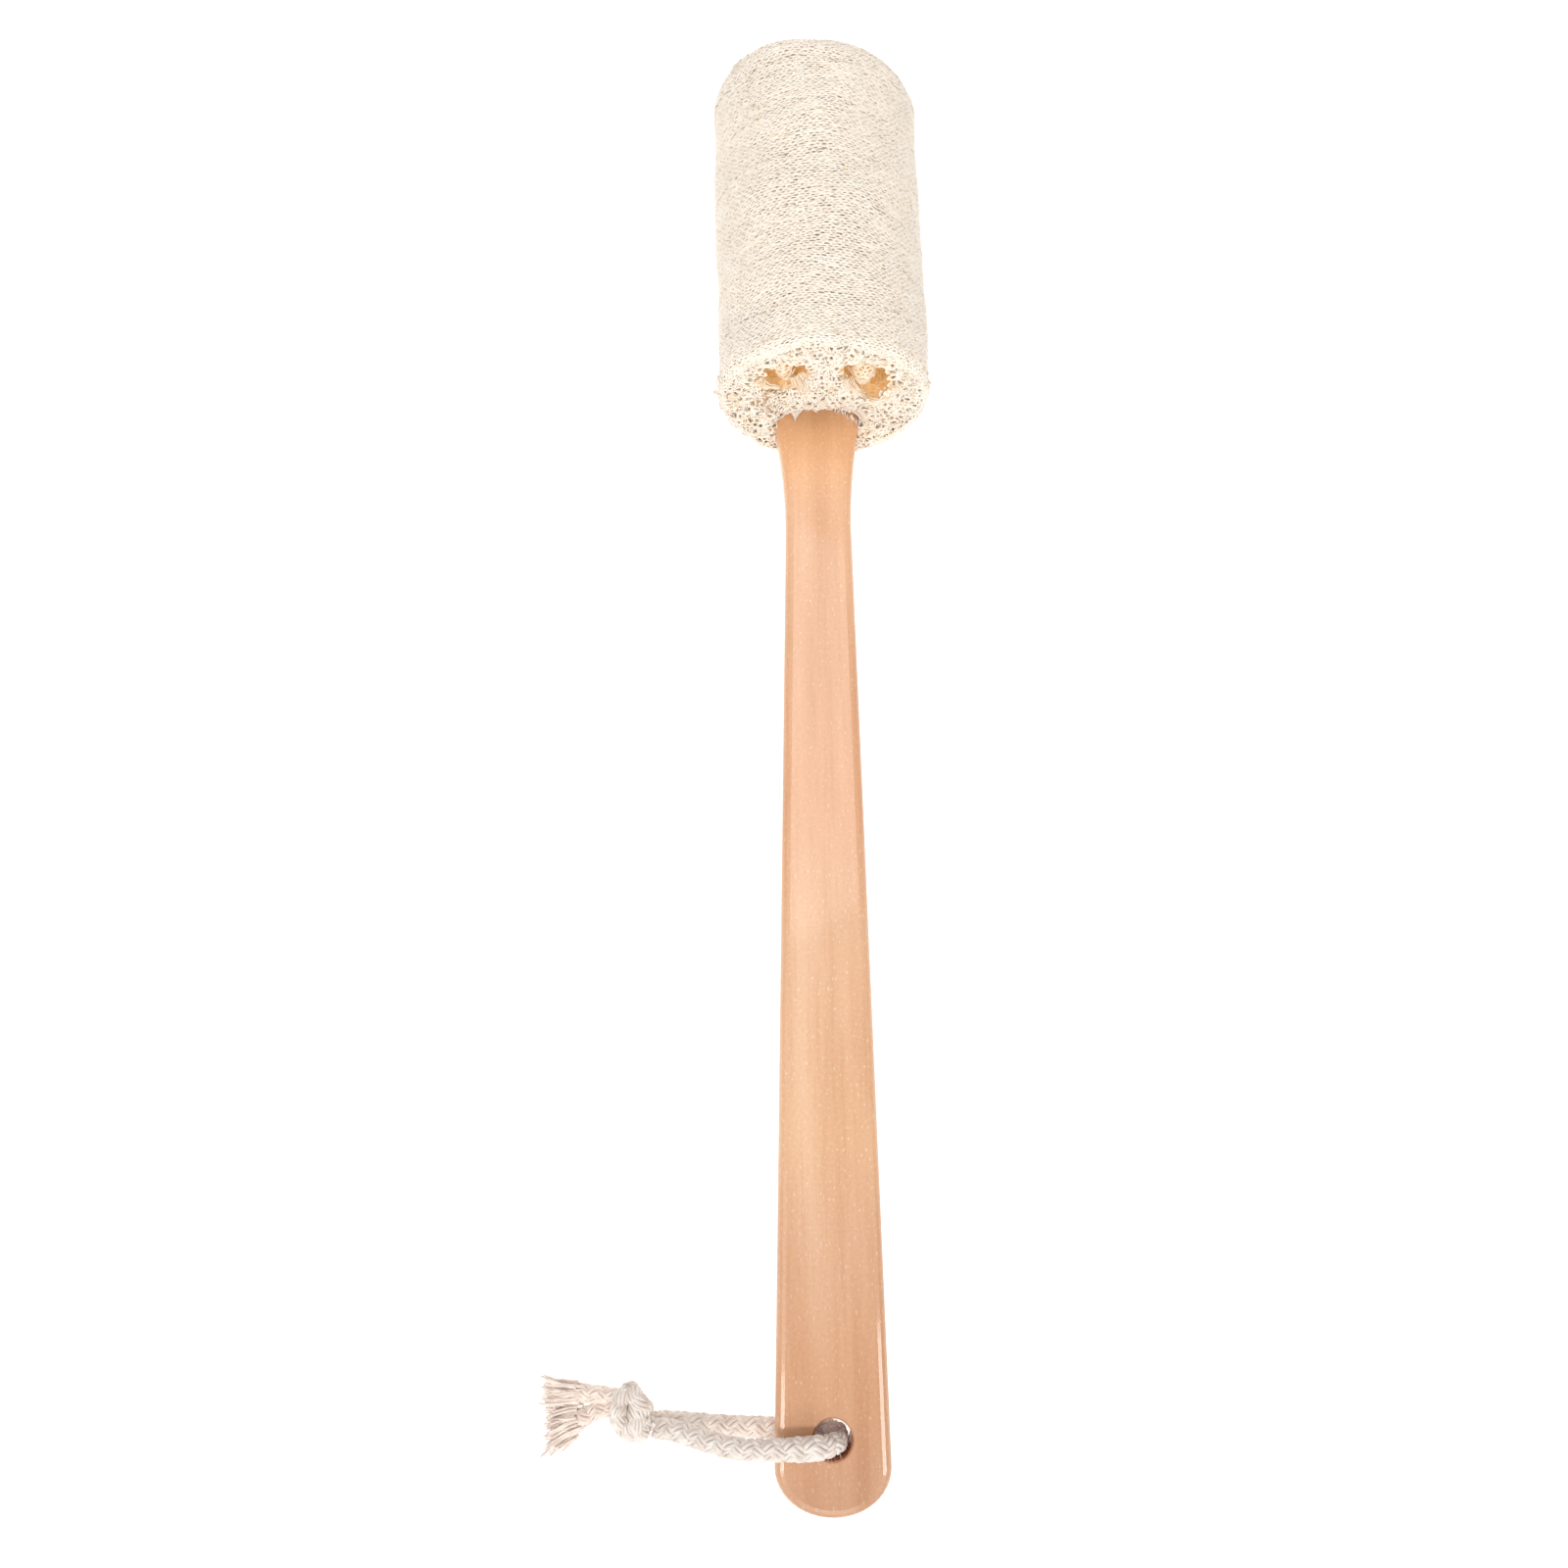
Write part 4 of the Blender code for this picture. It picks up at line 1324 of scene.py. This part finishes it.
# Painted shade and light along the handle, from the butt, at 0, to the loofah, at 1, as a share of the base
# colour: darkest at the butt, dimmer past the middle, warmer by the loofah.
WOOD_SHADE_ALONG = (
    (0.02, (0.71, 0.66, 0.64)), (0.11, (0.78, 0.71, 0.66)), (0.22, (0.87, 0.85, 0.86)),
    (0.31, (0.97, 1.00, 1.00)), (0.49, (0.97, 0.99, 1.00)), (0.62, (0.93, 0.85, 0.80)),
    (0.76, (0.95, 0.91, 0.88)), (0.91, (1.00, 1.00, 1.00)), (0.98, (1.00, 0.95, 0.82)),
)

WOOD_ROUGHNESS = (0.30, 0.46)
RING_RATE, RING_WARP = 260.0, 9.0  # the grain's rings: their turn for each metre, and how far they stray
WALL_REACH = (0.00512, 0.00545)  # from the hole's axis: where its wall's colour begins to end, and ends


def wood_material():
    """Varnished pale wood: grain along Y, painted shade that darkens it at the butt, a scorched wall in the
    drilled hole.
    """
    made, tree, shader = new_material("varnished_wood", 0.34)
    place = object_place(tree)
    parts = node(tree, "ShaderNodeSeparateXYZ", [("Vector", place)])
    warp = noise(tree, place, 1.0, 2.0, stretch=(60.0, 7.0, 60.0))
    streaks = noise(tree, place, 1.0, 4.0, 0.6, stretch=(800.0, 30.0, 800.0))
    broad = noise(tree, place, 1.0, 2.0, stretch=(110.0, 9.0, 110.0))
    rings = node(tree, "ShaderNodeMath", [(0, parts.outputs["X"])], operation="MULTIPLY")
    rings.inputs[1].default_value = RING_RATE
    bent = node(tree, "ShaderNodeMath", [(0, warp)], operation="MULTIPLY_ADD")
    bent.inputs[1].default_value = RING_WARP
    tree.links.new(rings.outputs[0], bent.inputs[2])
    ring = node(tree, "ShaderNodeMath", [(0, bent.outputs[0])], operation="SINE")
    colour = ramp(tree, broad, WOOD_COLOURS)
    band = ramp(tree, ring.outputs[0], [(0.0, (0.985, 0.975, 0.965)), (1.0, (1.0, 1.0, 1.0))])
    colour = mixed(tree, 1.0, colour, band, "MULTIPLY")
    line = ramp(tree, streaks, [(0.33, (0.95, 0.92, 0.89)), (0.52, (1.0, 1.0, 1.0))])
    colour = mixed(tree, 1.0, colour, line, "MULTIPLY")
    mottle = ramp(
        tree, noise(tree, place, 1000.0, 3.0), [(0.36, (0.95, 0.935, 0.915)), (0.60, (1.0, 1.0, 1.0))]
    )
    colour = mixed(tree, 1.0, colour, mottle, "MULTIPLY")
    flecks = noise(tree, place, 1.0, 1.0, 0.5, stretch=(2300.0, 700.0, 2300.0))
    fleck = ramp(tree, flecks, [(0.66, (0, 0, 0)), (0.72, (0.5, 0.5, 0.5))])
    colour = mixed(tree, fleck, colour, (1.0, 0.83, 0.66))
    # painted shade and light along the handle, darkest at the butt
    shade_along = ramp(tree, share_between(tree, parts.outputs["Y"], HANDLE_LOW.y, NEAR_Y), WOOD_SHADE_ALONG)
    colour = mixed(tree, 1.0, colour, shade_along, "MULTIPLY")
    toward = node(tree, "ShaderNodeVectorMath", [(0, place)], operation="SUBTRACT")
    toward.inputs[1].default_value = (HOLE.x, HOLE.y, 0.0)
    flatten = node(tree, "ShaderNodeVectorMath", [(0, toward.outputs[0])], operation="MULTIPLY")
    flatten.inputs[1].default_value = (1.0, 1.0, 0.0)
    away = node(tree, "ShaderNodeVectorMath", [(0, flatten.outputs[0])], operation="LENGTH")
    wall = share_between(tree, away.outputs["Value"], *WALL_REACH, first=1.0, last=0.0)
    char = ramp(
        tree, noise(tree, place, 700.0, 2.0), [(0.3, (0.28, 0.080, 0.030)), (0.7, (0.52, 0.190, 0.080))]
    )
    colour = mixed(tree, wall, colour, char)
    rough = share_between(tree, streaks, 0.0, 1.0, *WOOD_ROUGHNESS)
    dull = node(tree, "ShaderNodeMath", [(0, rough), (1, wall)], operation="MAXIMUM")
    tree.links.new(dull.outputs[0], shader.inputs["Roughness"])
    set_values(shader, Coat_Weight=0.30, Coat_Roughness=0.07, Specular_IOR_Level=0.35)
    return finished(made, colour, streaks, 0.12, 0.0001)


def glue_material():
    made, tree, _ = new_material("glue", 0.35)
    tone = noise(tree, object_place(tree), 300.0, 2.0)
    colour = ramp(tree, tone, [(0.3, (0.72, 0.58, 0.30)), (0.7, (0.86, 0.76, 0.50))])
    return finished(made, colour, tone, 0.4, 0.0002)


def dress(node_name, material):
    """Gives a CAD node its material."""
    piece = frame["nodes"][node_name]
    piece.data.materials.clear()
    piece.data.materials.append(material)


dress("handle", wood_material())
dress("glue_band", glue_material())


# ---- floor and light

FLOOR_HALF, FLOOR_GREY, FLOOR_GLOW = 3.0, 0.70, 0.80
# The lamps: name, place, what each faces, diameter and power.
LAMPS = (
    ("key", (-0.1, 0.35, 1.5), (0, 0, 0), 0.7, 7.0),
    ("front_left", (-0.67, -0.66, 1.27), (0, 0, 0), 0.30, 6.0),
    ("front_right", (0.67, -0.66, 1.27), (0, 0, 0), 0.30, 5.0),
    ("front_low", (0.0, -1.1, 0.8), (0, 0.1, 0.03), 0.6, 4.0),
)
WORLD_STRENGTH = 0.36


def make_floor():
    """A floor that glows a little, so that it stays white under the object."""
    made, _, shader = new_material("floor", 0.9, (FLOOR_GREY,) * 3)
    set_values(shader, Emission_Color=(1.0, 1.0, 1.0, 1.0), Emission_Strength=FLOOR_GLOW)
    corners = [(x * FLOOR_HALF, y * FLOOR_HALF, -FLOOR_GAP) for x, y in ((-1, -1), (1, -1), (1, 1), (-1, 1))]
    add_mesh("floor", np.array(corners), [[0, 1, 2, 3]], made)


def area_light(name, place, target, size, power):
    data = bpy.data.lights.new(name, "AREA")
    data.shape = "DISK"
    data.size = size
    data.energy = power
    lamp = bpy.data.objects.new(name, data)
    bpy.context.scene.collection.objects.link(lamp)
    lamp.location = place
    lamp.rotation_euler = (Vector(target) - Vector(place)).to_track_quat("-Z", "Y").to_euler()


def make_lights():
    for lamp in LAMPS:
        area_light(*lamp)
    world = bpy.data.worlds.new("studio")
    bpy.context.scene.world = world
    world.use_nodes = True
    set_values(world.node_tree.nodes["Background"], Color=(1.0, 1.0, 1.0, 1.0), Strength=WORLD_STRENGTH)


make_floor()
make_lights()
bpy.context.scene.view_settings.view_transform = "Standard"

tuple(from_hole([(0, 0, HANDLE_TOP)])[0])
length_of(front_line)
tuple(from_hole([(0, 0, HANDLE_UNDER)])[0])
length_of(back_line)
